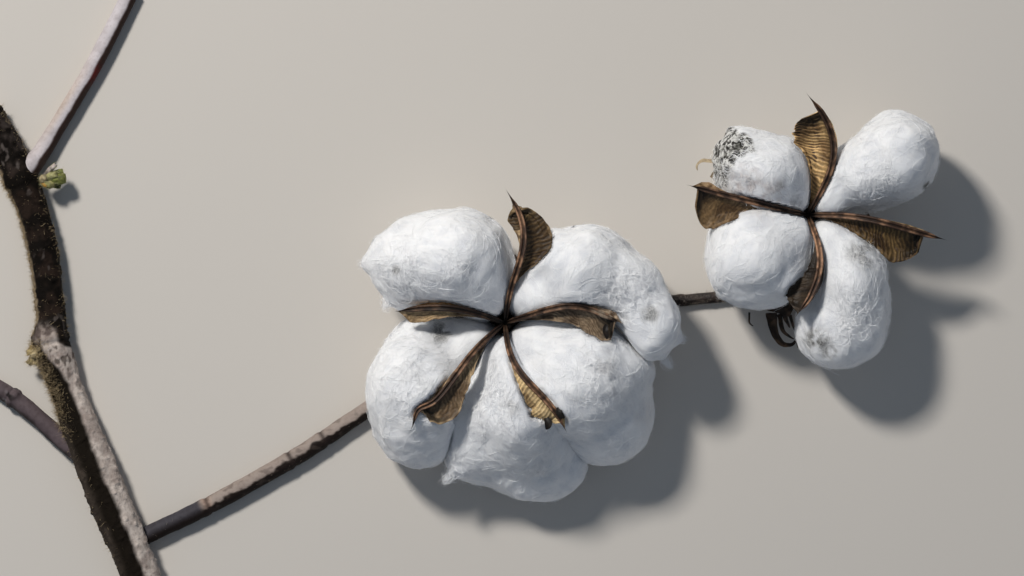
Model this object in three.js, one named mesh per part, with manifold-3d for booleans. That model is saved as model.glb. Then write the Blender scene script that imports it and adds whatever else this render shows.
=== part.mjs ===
// A cut length of a ripe cotton plant lying on a level surface: a piece of the main stem with two side
// branches, and one fruiting branch that carries two open bolls, their white locks facing up.
// Millimetres, +Z up. While it is built, the middle of the first boll stands over x = 0, y = 0.
import * as THREE from "three";
import { mergeVertices } from "three/addons/utils/BufferGeometryUtils.js";
import Module from "manifold-3d";

const wasm = await Module();
wasm.setup();

const CLEARANCE = 0.3; // between pieces that touch
const FLOOR = 0;

// Stems: points are [x, y] of the centre line, with the radius there. Each lies on the floor.
const MAIN_STEM = {
  sides: 12,
  steps: 20,
  points: [
    [-102.2, -76.1, 5.6],
    [-107.0, -63.6, 5.8],
    [-115.6, -43.7, 5.9],
    [-124.9, -18.6, 4.9],
    [-129.3, -5.0, 5.3],
    [-129.3, 1.5, 4.5],
    [-130.8, 14.1, 4.4],
    [-134.0, 29.4, 4.5],
    [-140.0, 45.2, 4.9],
    [-147.6, 59.8, 4.6],
  ],
};
const UPPER_BRANCH = {
  sides: 8,
  steps: 8,
  points: [
    [-137.6, 39.8, 3.3],
    [-133.0, 46.4, 2.7],
    [-129.5, 51.9, 2.45],
    [-116.7, 73.2, 2.4],
    [-105.9, 94.6, 2.3],
  ],
};
const LEFT_BRANCH = {
  sides: 8,
  steps: 7,
  points: [
    [-121.0, -37.5, 3.1],
    [-126.2, -33.5, 2.7],
    [-132.6, -27.8, 2.5],
    [-138.8, -22.7, 2.4],
    [-148.5, -16.3, 2.3],
  ],
};
const FRUITING_BRANCH = {
  sides: 10,
  steps: 26,
  points: [
    [-108.5, -64.0, 2.9],
    [-104.0, -61.6, 2.6],
    [-85.3, -52.6, 2.45],
    [-58.8, -37.8, 2.4],
    [-39.7, -25.2, 2.35],
    [-6.0, -4.2, 2.3],
    [0.0, -0.7, 2.7],
    [6.0, 1.2, 2.2],
    [27.0, 4.4, 1.8],
    [47.8, 6.1, 1.7],
    [62.0, 7.4, 1.65],
    [70.6, 9.2, 2.2],
    [73.6, 10.4, 1.6],
  ],
};

// Buds in the axils: centre, radius, and how far the bud points out, along its heading in degrees.
const BUDS = {
  upper_bud: { x: -131.0, y: 40.7, z: 6.4, radius: 2.3, length: 6.0, heading: 12 },
  lower_bud: { x: -134.3, y: -8.2, z: 6.4, radius: 1.7, length: 3.4, heading: 205 },
};

// The stalk that carries a boll: the foot is where it leaves the branch, and the heights rise to the column
// in the middle of the open burr.
const STALK = {
  radius: 1.75,
  cupRadius: 5.4,
  cupHeight: 12.5,
  cupDepth: 3.4,
  columnRadius: 2.1,
  columnTop: 24.5,
  sides: 12,
  stemSides: 8,
  stemSteps: 8,
};

// A valve is one section of the dry burr. Its ridge runs from the column to a pointed tip: the chord has a
// heading and a reach, bow and sway bend it to its left, and its height goes from root by crest to tip.
// leftWall and rightWall are the widths of its papery walls, and the drops say how steeply they fall away.
const VALVE = {
  sides: 10,
  steps: 9,
  rootInset: 2.7,
  ridgeHalfWidth: 0.75,
  wallThickness: 1.0,
  septumDepth: 6.5,
  crestAt: 0.55,
  wallWidest: 0.64,
};

const BOLLS = [
  {
    name: "boll_1",
    centre: [0, 0],
    foot: [0, -0.7],
    valves: [
      { heading: 88.3, reach: 36.7, bow: -2.9, sway: 1.7, root: 23, crest: 33, tip: 31,
        leftWall: 3.2, leftDrop: 50, rightWall: 9.6, rightDrop: 28 },
      { heading: 172.6, reach: 31.5, bow: -3.5, sway: 0, root: 23, crest: 32, tip: 28,
        leftWall: 6.6, leftDrop: 40, rightWall: 4.5, rightDrop: 74 },
      { heading: 225.9, reach: 38.0, bow: 0, sway: -0.9, root: 23, crest: 35, tip: 36,
        leftWall: 8.0, leftDrop: 38, rightWall: 3.6, rightDrop: 70 },
      { heading: 300.2, reach: 34.0, bow: -2.6, sway: -1.2, root: 23, crest: 35, tip: 36,
        leftWall: 3.4, leftDrop: 55, rightWall: 6.4, rightDrop: 38 },
      { heading: 359.0, reach: 32.0, bow: 4.9, sway: -0.6, root: 23, crest: 34, tip: 31,
        leftWall: 4.0, leftDrop: 72, rightWall: 8.0, rightDrop: 36 },
    ],
    // Each puff of a lock is an ellipsoid: its centre [x, y, z] from the boll's centre, and its radii.
    locks: [
      [
        { at: [-12.6, 18.0, 20], radii: [15.4, 14.0, 20] },
        { at: [-27.4, 16.4, 19], radii: [11.4, 11.6, 15] },
        { at: [-6.0, 10.0, 19], radii: [7.6, 8.6, 13] },
      ],
      [
        { at: [21.6, 15.0, 20], radii: [15.0, 13.0, 20] },
        { at: [35.6, 9.8, 20], radii: [8.6, 9.6, 15] },
        { at: [41.2, -0.6, 25], radii: [7.8, 10.2, 11] },
        { at: [9.6, 8.8, 19], radii: [8.4, 7.0, 13] },
      ],
      [
        { at: [-25.2, -17.4, 19.5], radii: [14.2, 15.6, 20.5] },
        { at: [-12.0, -6.8, 19], radii: [9.6, 6.6, 13] },
        { at: [-22.4, -29.6, 17], radii: [12.0, 10.0, 17.5] },
      ],
      [
        { at: [1.6, -26.0, 19], radii: [14.6, 15.6, 20] },
        { at: [8.8, -39.0, 16], radii: [15.6, 11.4, 16.5] },
        { at: [-9.4, -35.0, 17], radii: [9.0, 9.4, 14] },
        { at: [-0.6, -11.6, 18], radii: [5.6, 8.0, 12] },
      ],
      [
        { at: [22.4, -17.4, 20], radii: [15.6, 15.8, 20.5] },
        { at: [29.4, -27.6, 17.5], radii: [11.8, 13.2, 17] },
        { at: [10.6, -6.8, 18], radii: [8.4, 6.8, 12] },
      ],
    ],
    bracts: [
      { heading: 60, reach: 25, lift: 5.0 },
      { heading: 165, reach: 26, lift: 5.5 },
      { heading: 290, reach: 25, lift: 5.0 },
    ],
  },
  {
    name: "boll_2",
    centre: [84.9, 30.3],
    foot: [71.4, 10.0],
    valves: [
      { heading: 90, reach: 33.0, bow: -7.0, sway: 0.4, root: 23, crest: 32, tip: 34,
        leftWall: 11.2, leftDrop: 22, rightWall: 2.6, rightDrop: 64 },
      { heading: 166.6, reach: 32.5, bow: 0.3, sway: 0, root: 23, crest: 33, tip: 33,
        leftWall: 11.6, leftDrop: 42, rightWall: 4.0, rightDrop: 70 },
      { heading: 264.0, reach: 27.4, bow: 5.3, sway: 0, root: 23, crest: 34, tip: 34,
        leftWall: 3.4, leftDrop: 72, rightWall: 8.6, rightDrop: 52 },
      { heading: 349.5, reach: 38.4, bow: 2.4, sway: 0.3, root: 23, crest: 32, tip: 30,
        leftWall: 4.4, leftDrop: 66, rightWall: 10.6, rightDrop: 34 },
    ],
    locks: [
      [
        { at: [-11.2, 12.0, 20], radii: [12.0, 11.6, 20] },
        { at: [-19.0, 14.2, 19], radii: [8.0, 10.8, 16] },
        { at: [-5.0, 5.6, 19], radii: [5.4, 5.4, 11] },
      ],
      [
        { at: [25.0, 16.6, 20], radii: [12.2, 12.8, 20.5] },
        { at: [14.6, 10.6, 19.5], radii: [9.8, 9.0, 16] },
        { at: [6.4, 4.8, 19], radii: [5.6, 5.4, 11] },
      ],
      [
        { at: [-14.3, -12.0, 19.5], radii: [14.4, 14.6, 20.5] },
        { at: [-5.0, -5.4, 19], radii: [6.4, 6.0, 12] },
      ],
      [
        { at: [10.4, -18.6, 19], radii: [10.8, 14.2, 19.5] },
        { at: [10.6, -32.4, 17], radii: [13.0, 10.7, 17.5] },
        { at: [5.4, -8.4, 18], radii: [6.2, 7.4, 12] },
      ],
    ],
    bracts: [
      { heading: 255, reach: 36, lift: 7.5 },
      { heading: 151, reach: 34, lift: 9.0 },
      { heading: 25, reach: 24, lift: 6.0 },
    ],
  },
];

const LOCK = {
  detail: 3,
  firmness: 5, // how sharply a puff's strength falls off round its surface
  marchStep: 0.6,
  halvings: 12,
  reach: 62,
  share: 1.12, // a lock ends where a neighbour is stronger by this factor
  ridgeRadius: 2.3,
};
const BRACT = { rootAt: 4.6, height: 12.4, width: 10.5, thickness: 1.0, rows: 4, columns: 2 };
const BRACT_TOOTH = { count: 3, length: 10.5, radius: 0.75, spread: 24, sides: 4, steps: 2 };

const COLOURS = {
  main_stem: { color: 0x5b4a3d, roughness: 0.85 },
  upper_branch: { color: 0xa39386, roughness: 0.8 },
  left_branch: { color: 0x5d5558, roughness: 0.85 },
  fruiting_branch: { color: 0x6b5747, roughness: 0.8 },
  bud: { color: 0x9a9a50, roughness: 0.85 },
  stalk: { color: 0x4a3226, roughness: 0.85 },
  valve: { color: 0x6e4a2c, roughness: 0.7 },
  lock: { color: 0xf1f1f2, roughness: 0.95 },
  bract: { color: 0x4b3323, roughness: 0.9 },
};

const up = new THREE.Vector3(0, 0, 1);
const radians = THREE.MathUtils.degToRad;

// A three.js primitive with its vertices merged and each one moved by the function place(vertex).
function reshape(primitive, place) {
  primitive.deleteAttribute("normal");
  primitive.deleteAttribute("uv");
  const geometry = mergeVertices(primitive, 1e-4);
  const position = geometry.getAttribute("position");
  const vertex = new THREE.Vector3();
  for (let i = 0; i < position.count; i++) {
    const moved = place(vertex.fromBufferAttribute(position, i));
    position.setXYZ(i, moved.x, moved.y, moved.z);
  }
  return geometry;
}

// The geometry with its faces moved out by the clearance: each vertex goes along its normal, further where
// the faces round it meet at an edge, up to twice as far.
function inflate(geometry) {
  const grown = geometry.clone();
  grown.computeVertexNormals();
  const position = grown.getAttribute("position");
  const normal = grown.getAttribute("normal");
  const facing = new Array(position.count).fill(1);
  const corner = [new THREE.Vector3(), new THREE.Vector3(), new THREE.Vector3()];
  const face = new THREE.Vector3();
  const outward = new THREE.Vector3();
  for (let i = 0; i < grown.index.count; i += 3) {
    const ids = [0, 1, 2].map((k) => grown.index.getX(i + k));
    ids.forEach((id, k) => corner[k].fromBufferAttribute(position, id));
    face.crossVectors(corner[1].clone().sub(corner[0]), corner[2].clone().sub(corner[0])).normalize();
    ids.forEach((id) => {
      facing[id] = Math.min(facing[id], face.dot(outward.fromBufferAttribute(normal, id)));
    });
  }
  for (let i = 0; i < position.count; i++) {
    corner[0].fromBufferAttribute(position, i);
    outward.fromBufferAttribute(normal, i);
    corner[0].addScaledVector(outward, CLEARANCE / Math.max(facing[i], 0.5));
    position.setXYZ(i, corner[0].x, corner[0].y, corner[0].z);
  }
  grown.deleteAttribute("normal");
  return grown;
}

function toSolid(geometry) {
  return new wasm.Manifold(
    new wasm.Mesh({
      numProp: 3,
      vertProperties: new Float32Array(geometry.getAttribute("position").array),
      triVerts: new Uint32Array(geometry.index.array),
    }),
  );
}

function toGeometry(solid) {
  const mesh = solid.getMesh();
  return new THREE.BufferGeometry()
    .setAttribute("position", new THREE.BufferAttribute(new Float32Array(mesh.vertProperties), 3))
    .setIndex(new THREE.BufferAttribute(new Uint32Array(mesh.triVerts), 1));
}

function join(geometries) {
  return geometries.map(toSolid).reduce((body, part) => body.add(part));
}

// The solid with every tool taken away, and only its largest body kept.
function cutClear(solid, tools) {
  const left = tools.reduce((body, tool) => body.subtract(tool), solid);
  return left.decompose().sort((a, b) => b.volume() - a.volume())[0];
}

// A tapering limb: an upright cylinder bent along a curve. radiusAt(t) is its radius, and reference is a
// direction that its cross-sections line up with.
function limb({ curve, radiusAt, sides, steps, reference = up }) {
  return reshape(new THREE.CylinderGeometry(1, 1, 1, sides, steps), (vertex) => {
    const t = THREE.MathUtils.clamp(vertex.y + 0.5, 0, 1);
    const along = curve.getTangentAt(t);
    const first = reference.clone().addScaledVector(along, -reference.dot(along)).normalize();
    const second = new THREE.Vector3().crossVectors(along, first);
    const radius = radiusAt(t);
    return curve
      .getPointAt(t)
      .addScaledVector(first, -vertex.z * radius)
      .addScaledVector(second, -vertex.x * radius);
  });
}

// A stem or branch that lies on the floor: its centre line is as high as its radius.
function lyingLimb({ points, sides, steps }) {
  const curve = new THREE.CatmullRomCurve3(
    points.map(([x, y, radius]) => new THREE.Vector3(x, y, FLOOR + radius)),
  );
  return limb({ curve, radiusAt: (t) => curve.getPointAt(t).z - FLOOR, sides, steps });
}

// A bud: an egg shape whose far half is drawn out to a point.
function bud({ x, y, z, radius, length, heading }) {
  const angle = radians(heading);
  const direction = new THREE.Vector3(Math.cos(angle), Math.sin(angle), 0.25).normalize();
  const turn = new THREE.Quaternion().setFromUnitVectors(up, direction);
  return reshape(new THREE.IcosahedronGeometry(1, 1), (vertex) => {
    const along = vertex.z > 0 ? vertex.z * (length - radius) : vertex.z * radius;
    const taper = vertex.z > 0 ? 1 - 0.45 * vertex.z ** 2 : 1;
    return new THREE.Vector3(vertex.x * radius * taper, vertex.y * radius * taper, along)
      .applyQuaternion(turn)
      .add(new THREE.Vector3(x, y, z));
  });
}

// A boll's stalk: its cup and column are turned in one profile, over a short stem bent up from the branch.
function stalk(boll) {
  const { radius, cupRadius, cupHeight, cupDepth, columnRadius, columnTop, sides } = STALK;
  const base = cupHeight - cupDepth;
  const centre = new THREE.Vector3(boll.centre[0], boll.centre[1], 0);
  const profile = [
    [0, base],
    [radius, base],
    [cupRadius * 0.72, base + 0.9],
    [cupRadius, cupHeight - 0.6],
    [cupRadius, cupHeight],
    [columnRadius + 0.6, cupHeight + 1.6],
    [columnRadius, cupHeight + 4],
    [columnRadius, columnTop - 1],
    [columnRadius * 0.6, columnTop],
    [0, columnTop + 0.3],
  ].map(([r, z]) => new THREE.Vector2(r, z));
  const turned = new THREE.LatheGeometry(profile, sides).rotateX(Math.PI / 2);
  const head = reshape(turned, (vertex) => vertex.clone().add(centre));
  const foot = new THREE.Vector3(boll.foot[0], boll.foot[1], 3.2);
  const top = centre.clone().setZ(base + 1);
  const level = top.clone().sub(foot).setZ(0);
  const isBent = level.length() > 2;
  const halfway = foot.clone().addScaledVector(level, 0.5).setZ(4.4);
  const bend = isBent ? [foot, halfway, centre.clone().setZ(base - 2.6), top] : [foot, top];
  const reference = isBent ? new THREE.Vector3(-level.y, level.x, 0).normalize() : new THREE.Vector3(1, 0, 0);
  const stem = limb({
    curve: new THREE.CatmullRomCurve3(bend),
    radiusAt: () => radius,
    sides: STALK.stemSides,
    steps: isBent ? STALK.stemSteps : 2,
    reference,
  });
  return [head, stem];
}

// The middle line of a valve's ridge, from the boll's axis (s = 0) to the tip (s = 1).
function ridgePoint(boll, valve, s) {
  const heading = radians(valve.heading);
  const bend = valve.bow * Math.sin(Math.PI * s) + valve.sway * Math.sin(2 * Math.PI * s);
  const rise = Math.sin((Math.PI / 2) * Math.min(1, s / VALVE.crestAt));
  const past = THREE.MathUtils.smoothstep(s, VALVE.crestAt, 1);
  return new THREE.Vector3(
    boll.centre[0] + Math.cos(heading) * s * valve.reach - Math.sin(heading) * bend,
    boll.centre[1] + Math.sin(heading) * s * valve.reach + Math.cos(heading) * bend,
    valve.root + (valve.crest - valve.root) * rise + (valve.tip - valve.crest) * past,
  );
}

// How wide the walls are along the valve, as a share of their widest: narrow at the root, pointed at the tip.
function wallShare(s) {
  const isInner = s < VALVE.wallWidest;
  const swell = isInner ? s / VALVE.wallWidest : (1 - s) / (1 - VALVE.wallWidest);
  return Math.pow(Math.max(swell, 0), isInner ? 1.2 : 0.7);
}

// One valve: a septum that stands up to the ridge, with a wall that falls away on each side of its foot.
function valveShape(boll, valve) {
  const { sides, steps, rootInset, ridgeHalfWidth, wallThickness, septumDepth } = VALVE;
  const start = rootInset / valve.reach;
  const half = wallThickness / 2;
  return reshape(new THREE.CylinderGeometry(1, 1, 1, sides, steps), (vertex) => {
    const s = THREE.MathUtils.lerp(start, 1, THREE.MathUtils.clamp(vertex.y + 0.5, 0, 1));
    const ridge = ridgePoint(boll, valve, s);
    const ahead = ridgePoint(boll, valve, s + 0.01).sub(ridgePoint(boll, valve, s - 0.01)).normalize();
    const left = new THREE.Vector3(-ahead.y, ahead.x, 0).normalize();
    const depth = septumDepth * (0.28 + 0.72 * (1 - s) ** 1.5);
    const wall = (width, drop, out, offset) => {
      const span = width * wallShare(s) * out + 0.25;
      const cos = Math.cos(radians(drop));
      const sin = Math.sin(radians(drop));
      return [cos * span + sin * offset, cos * offset - sin * span - depth * 0.8];
    };
    const foot = ridgeHalfWidth * 0.7;
    const mirror = ([across, height]) => [-across, height];
    const section = [
      [-foot, 0],
      mirror(wall(valve.rightWall, valve.rightDrop, 0.5, half * 1.8)),
      mirror(wall(valve.rightWall, valve.rightDrop, 1, half)),
      mirror(wall(valve.rightWall, valve.rightDrop, 1, -half)),
      [0, -depth - half - 0.3],
      wall(valve.leftWall, valve.leftDrop, 1, -half),
      wall(valve.leftWall, valve.leftDrop, 1, half),
      wall(valve.leftWall, valve.leftDrop, 0.5, half * 1.8),
      [ridgeHalfWidth, -depth * 0.5],
      [foot, 0],
    ];
    const turn = Math.atan2(vertex.x, vertex.z) / (2 * Math.PI) + 1;
    const isCentre = Math.hypot(vertex.x, vertex.z) < 0.5;
    const taper = Math.min(1, (1 - s) * 7 + 0.12);
    const [across, height] = isCentre ? [0, -0.9] : section[Math.round(turn * sides) % sides];
    return ridge.addScaledVector(left, across * taper).addScaledVector(up, height * taper);
  });
}

// A bract: a dry blade that leaves the cup, bends down over the branch and ends in narrow teeth.
function bractShapes(boll, bract) {
  const heading = radians(bract.heading);
  const out = new THREE.Vector3(Math.cos(heading), Math.sin(heading), 0);
  const side = new THREE.Vector3(-out.y, out.x, 0);
  const centre = new THREE.Vector3(boll.centre[0], boll.centre[1], 0);
  const bladeEnd = bract.reach - BRACT_TOOTH.length;
  const rootHeight = BRACT.height - 1.6;
  const heightAt = (r) => {
    const t = (1.6 * (r - BRACT.rootAt)) / (bract.reach - BRACT.rootAt);
    return rootHeight - (rootHeight - bract.lift) * Math.sin((Math.PI / 2) * Math.min(1, t));
  };
  const blade = reshape(new THREE.BoxGeometry(1, 1, 1, BRACT.rows, BRACT.columns, 1), (vertex) => {
    const t = vertex.x + 0.5;
    const r = THREE.MathUtils.lerp(BRACT.rootAt, bladeEnd, t);
    const width = BRACT.width * (0.45 + 0.55 * Math.sin(Math.PI * (0.2 + t * 0.7)));
    const cupped = 1.6 * (2 * vertex.y) ** 2;
    return centre
      .clone()
      .addScaledVector(out, r)
      .addScaledVector(side, vertex.y * width)
      .setZ(heightAt(r) + cupped + vertex.z * BRACT.thickness);
  });
  const teeth = Array.from({ length: BRACT_TOOTH.count }, (_, i) => {
    const offset = i - (BRACT_TOOTH.count - 1) / 2;
    const angle = radians(offset * BRACT_TOOTH.spread);
    const direction = out.clone().multiplyScalar(Math.cos(angle)).addScaledVector(side, Math.sin(angle));
    const rootRadius = bladeEnd - 1.5;
    const root = centre
      .clone()
      .addScaledVector(out, rootRadius)
      .addScaledVector(side, offset * BRACT.width * 0.3)
      .setZ(heightAt(rootRadius) + 0.6 * offset ** 2);
    const tip = root.clone().addScaledVector(direction, BRACT_TOOTH.length + 1.5);
    const halfway = root.clone().lerp(tip, 0.55);
    halfway.z -= 0.6;
    tip.z += 1.6;
    const curve = new THREE.CatmullRomCurve3([root, halfway, tip]);
    const radiusAt = (t) => BRACT_TOOTH.radius * (1 - 0.55 * t);
    return limb({ curve, radiusAt, sides: BRACT_TOOTH.sides, steps: BRACT_TOOTH.steps });
  });
  return [blade, ...teeth];
}

// The strength of a lock at a point: over 1 inside any of its puffs, and more where puffs meet.
function lockStrength(boll, puffs, point) {
  return puffs.reduce((sum, { at, radii }) => {
    const rho = Math.hypot(
      (point.x - boll.centre[0] - at[0]) / radii[0],
      (point.y - boll.centre[1] - at[1]) / radii[1],
      (point.z - at[2]) / radii[2],
    );
    return sum + Math.exp(-LOCK.firmness * (rho - 1));
  }, 0);
}

// The strength of the ridges, which hold the cotton off along the burr.
function ridgeStrength(ridges, point) {
  const near = Math.min(...ridges.map((ridge) => ridge.distanceTo(point)));
  return Math.exp(LOCK.firmness * (1 - near / LOCK.ridgeRadius));
}

// A lock: every vertex of a sphere moves out along its ray until the lock's strength falls under 1, a
// neighbour or the burr is stronger, or it meets the floor.
function lockShape(boll, own, ridges) {
  const others = boll.locks.filter((puffs) => puffs !== own);
  const weight = own.reduce((sum, { radii }) => sum + radii[0] * radii[1], 0);
  const middle = own.reduce(
    (sum, { at, radii }) => sum.addScaledVector(new THREE.Vector3(...at), (radii[0] * radii[1]) / weight),
    new THREE.Vector3(boll.centre[0], boll.centre[1], 0),
  );
  const isInside = (point) => {
    if (point.z < FLOOR) return false;
    const strength = lockStrength(boll, own, point);
    if (strength < 1) return false;
    const rivals = others.map((puffs) => lockStrength(boll, puffs, point));
    return strength > LOCK.share * Math.max(...rivals, ridgeStrength(ridges, point));
  };
  return reshape(new THREE.IcosahedronGeometry(1, LOCK.detail), (vertex) => {
    const ray = vertex.clone().normalize();
    const pointAt = (r) => middle.clone().addScaledVector(ray, r);
    let low = LOCK.marchStep;
    while (low < LOCK.reach && isInside(pointAt(low + LOCK.marchStep))) low += LOCK.marchStep;
    let high = low + LOCK.marchStep;
    for (let i = 0; i < LOCK.halvings; i++) {
      const half = (low + high) / 2;
      if (isInside(pointAt(half))) low = half;
      else high = half;
    }
    return pointAt(low);
  });
}

const group = new THREE.Group();
const cutters = []; // the inflated pieces so far, which every later piece is cut clear of

function addPiece(name, finish, geometries) {
  const mesh = new THREE.Mesh(
    toGeometry(cutClear(join(geometries), cutters)),
    new THREE.MeshStandardMaterial({ ...COLOURS[finish], metalness: 0 }),
  );
  mesh.name = name;
  group.add(mesh);
  cutters.push(join([...geometries, ...geometries.map(inflate)]));
}

addPiece("main_stem", "main_stem", [lyingLimb(MAIN_STEM)]);
addPiece("upper_branch", "upper_branch", [lyingLimb(UPPER_BRANCH)]);
addPiece("left_branch", "left_branch", [lyingLimb(LEFT_BRANCH)]);
addPiece("fruiting_branch", "fruiting_branch", [lyingLimb(FRUITING_BRANCH)]);
Object.entries(BUDS).forEach(([name, size]) => addPiece(name, "bud", [bud(size)]));
BOLLS.forEach((boll) => {
  const ridges = boll.valves.flatMap((valve) =>
    Array.from({ length: 41 }, (_, i) => ridgePoint(boll, valve, i / 40)),
  );
  addPiece(`${boll.name}_stalk`, "stalk", stalk(boll));
  boll.valves.forEach((valve, i) =>
    addPiece(`${boll.name}_valve_${i + 1}`, "valve", [valveShape(boll, valve)]),
  );
  boll.bracts.forEach((bract, i) =>
    addPiece(`${boll.name}_bract_${i + 1}`, "bract", bractShapes(boll, bract)),
  );
  boll.locks.forEach((puffs, i) =>
    addPiece(`${boll.name}_lock_${i + 1}`, "lock", [lockShape(boll, puffs, ridges)]),
  );
});

// The part's origin is on the floor, under the middle of its outline.
const box = new THREE.Box3().setFromObject(group);
const middle = box.getCenter(new THREE.Vector3());
group.position.set(-middle.x, -middle.y, -box.min.z);

export default group;
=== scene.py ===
"""The looks of a cut cotton branch with two open bolls: bark, hairs, dry burrs, bracts and loose cotton.

Sizes are in millimetres in the branch's own layout: zero is on the floor under the middle of the first
boll, +X runs from the main stem to the bolls, and +Z is up, out of the open faces of the bolls.
"""
import itertools
import math

import bpy
import numpy as np
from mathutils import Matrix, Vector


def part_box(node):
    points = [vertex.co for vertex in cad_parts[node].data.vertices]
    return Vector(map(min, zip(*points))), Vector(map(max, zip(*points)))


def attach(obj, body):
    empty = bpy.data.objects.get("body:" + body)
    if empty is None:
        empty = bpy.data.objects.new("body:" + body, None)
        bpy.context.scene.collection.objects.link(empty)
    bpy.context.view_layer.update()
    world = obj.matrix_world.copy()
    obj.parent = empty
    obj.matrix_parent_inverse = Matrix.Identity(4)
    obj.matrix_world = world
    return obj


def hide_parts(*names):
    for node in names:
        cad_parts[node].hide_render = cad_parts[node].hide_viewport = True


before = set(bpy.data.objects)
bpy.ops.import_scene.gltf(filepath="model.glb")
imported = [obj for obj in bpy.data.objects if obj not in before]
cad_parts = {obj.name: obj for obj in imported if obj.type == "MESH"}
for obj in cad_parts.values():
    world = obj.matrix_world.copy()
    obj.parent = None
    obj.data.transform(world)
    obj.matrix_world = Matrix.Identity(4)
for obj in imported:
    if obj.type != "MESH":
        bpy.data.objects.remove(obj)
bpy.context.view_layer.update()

MM = 0.001
UP = np.array([0.0, 0.0, 1.0])
lowest, highest = (np.array(corner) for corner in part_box("boll_1_stalk"))
LAYOUT_ZERO = np.array([(lowest[0] + highest[0]) / 2, (lowest[1] + highest[1]) / 2, 0.0])

# Stems: [x, y, radius] along the centre line, each lying on the floor.
MAIN_STEM = [
    [-102.2, -76.1, 5.6], [-107.0, -63.6, 5.8], [-115.6, -43.7, 5.9], [-124.9, -18.6, 4.9],
    [-129.3, -5.0, 5.3], [-129.3, 1.5, 4.5], [-130.8, 14.1, 4.4], [-134.0, 29.4, 4.5],
    [-140.0, 45.2, 4.9], [-147.6, 59.8, 4.6],
]
UPPER_BRANCH = [
    [-138.2, 39.8, 3.3], [-133.6, 46.4, 2.7], [-130.2, 51.9, 2.45], [-117.5, 73.2, 2.4],
    [-106.6, 94.6, 2.3],
]
LEFT_BRANCH = [
    [-121.0, -37.5, 3.1], [-126.2, -33.5, 2.7], [-132.6, -27.8, 2.5], [-138.8, -22.7, 2.4],
    [-148.5, -16.3, 2.3],
]
FRUITING_BRANCH = [
    [-108.5, -64.0, 2.9], [-104.0, -61.6, 2.6], [-85.3, -52.6, 2.45], [-58.8, -37.8, 2.4],
    [-39.7, -25.2, 2.35], [-6.0, -4.2, 2.3], [0.0, -0.7, 2.7], [6.0, 1.2, 2.2], [27.0, 4.4, 1.8],
    [47.8, 6.1, 1.7], [62.0, 7.4, 1.65], [70.6, 9.2, 2.2], [73.6, 10.4, 1.6],
]
JOINT_AT = 0.53

# The stalk under a boll, with the cup and column of its burr.
STALK_RADIUS = 1.75
CUP_RADIUS = 5.4
CUP_HEIGHT = 12.5
CUP_DEPTH = 3.4
COLUMN_RADIUS = 2.1
COLUMN_TOP = 22.4

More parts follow.
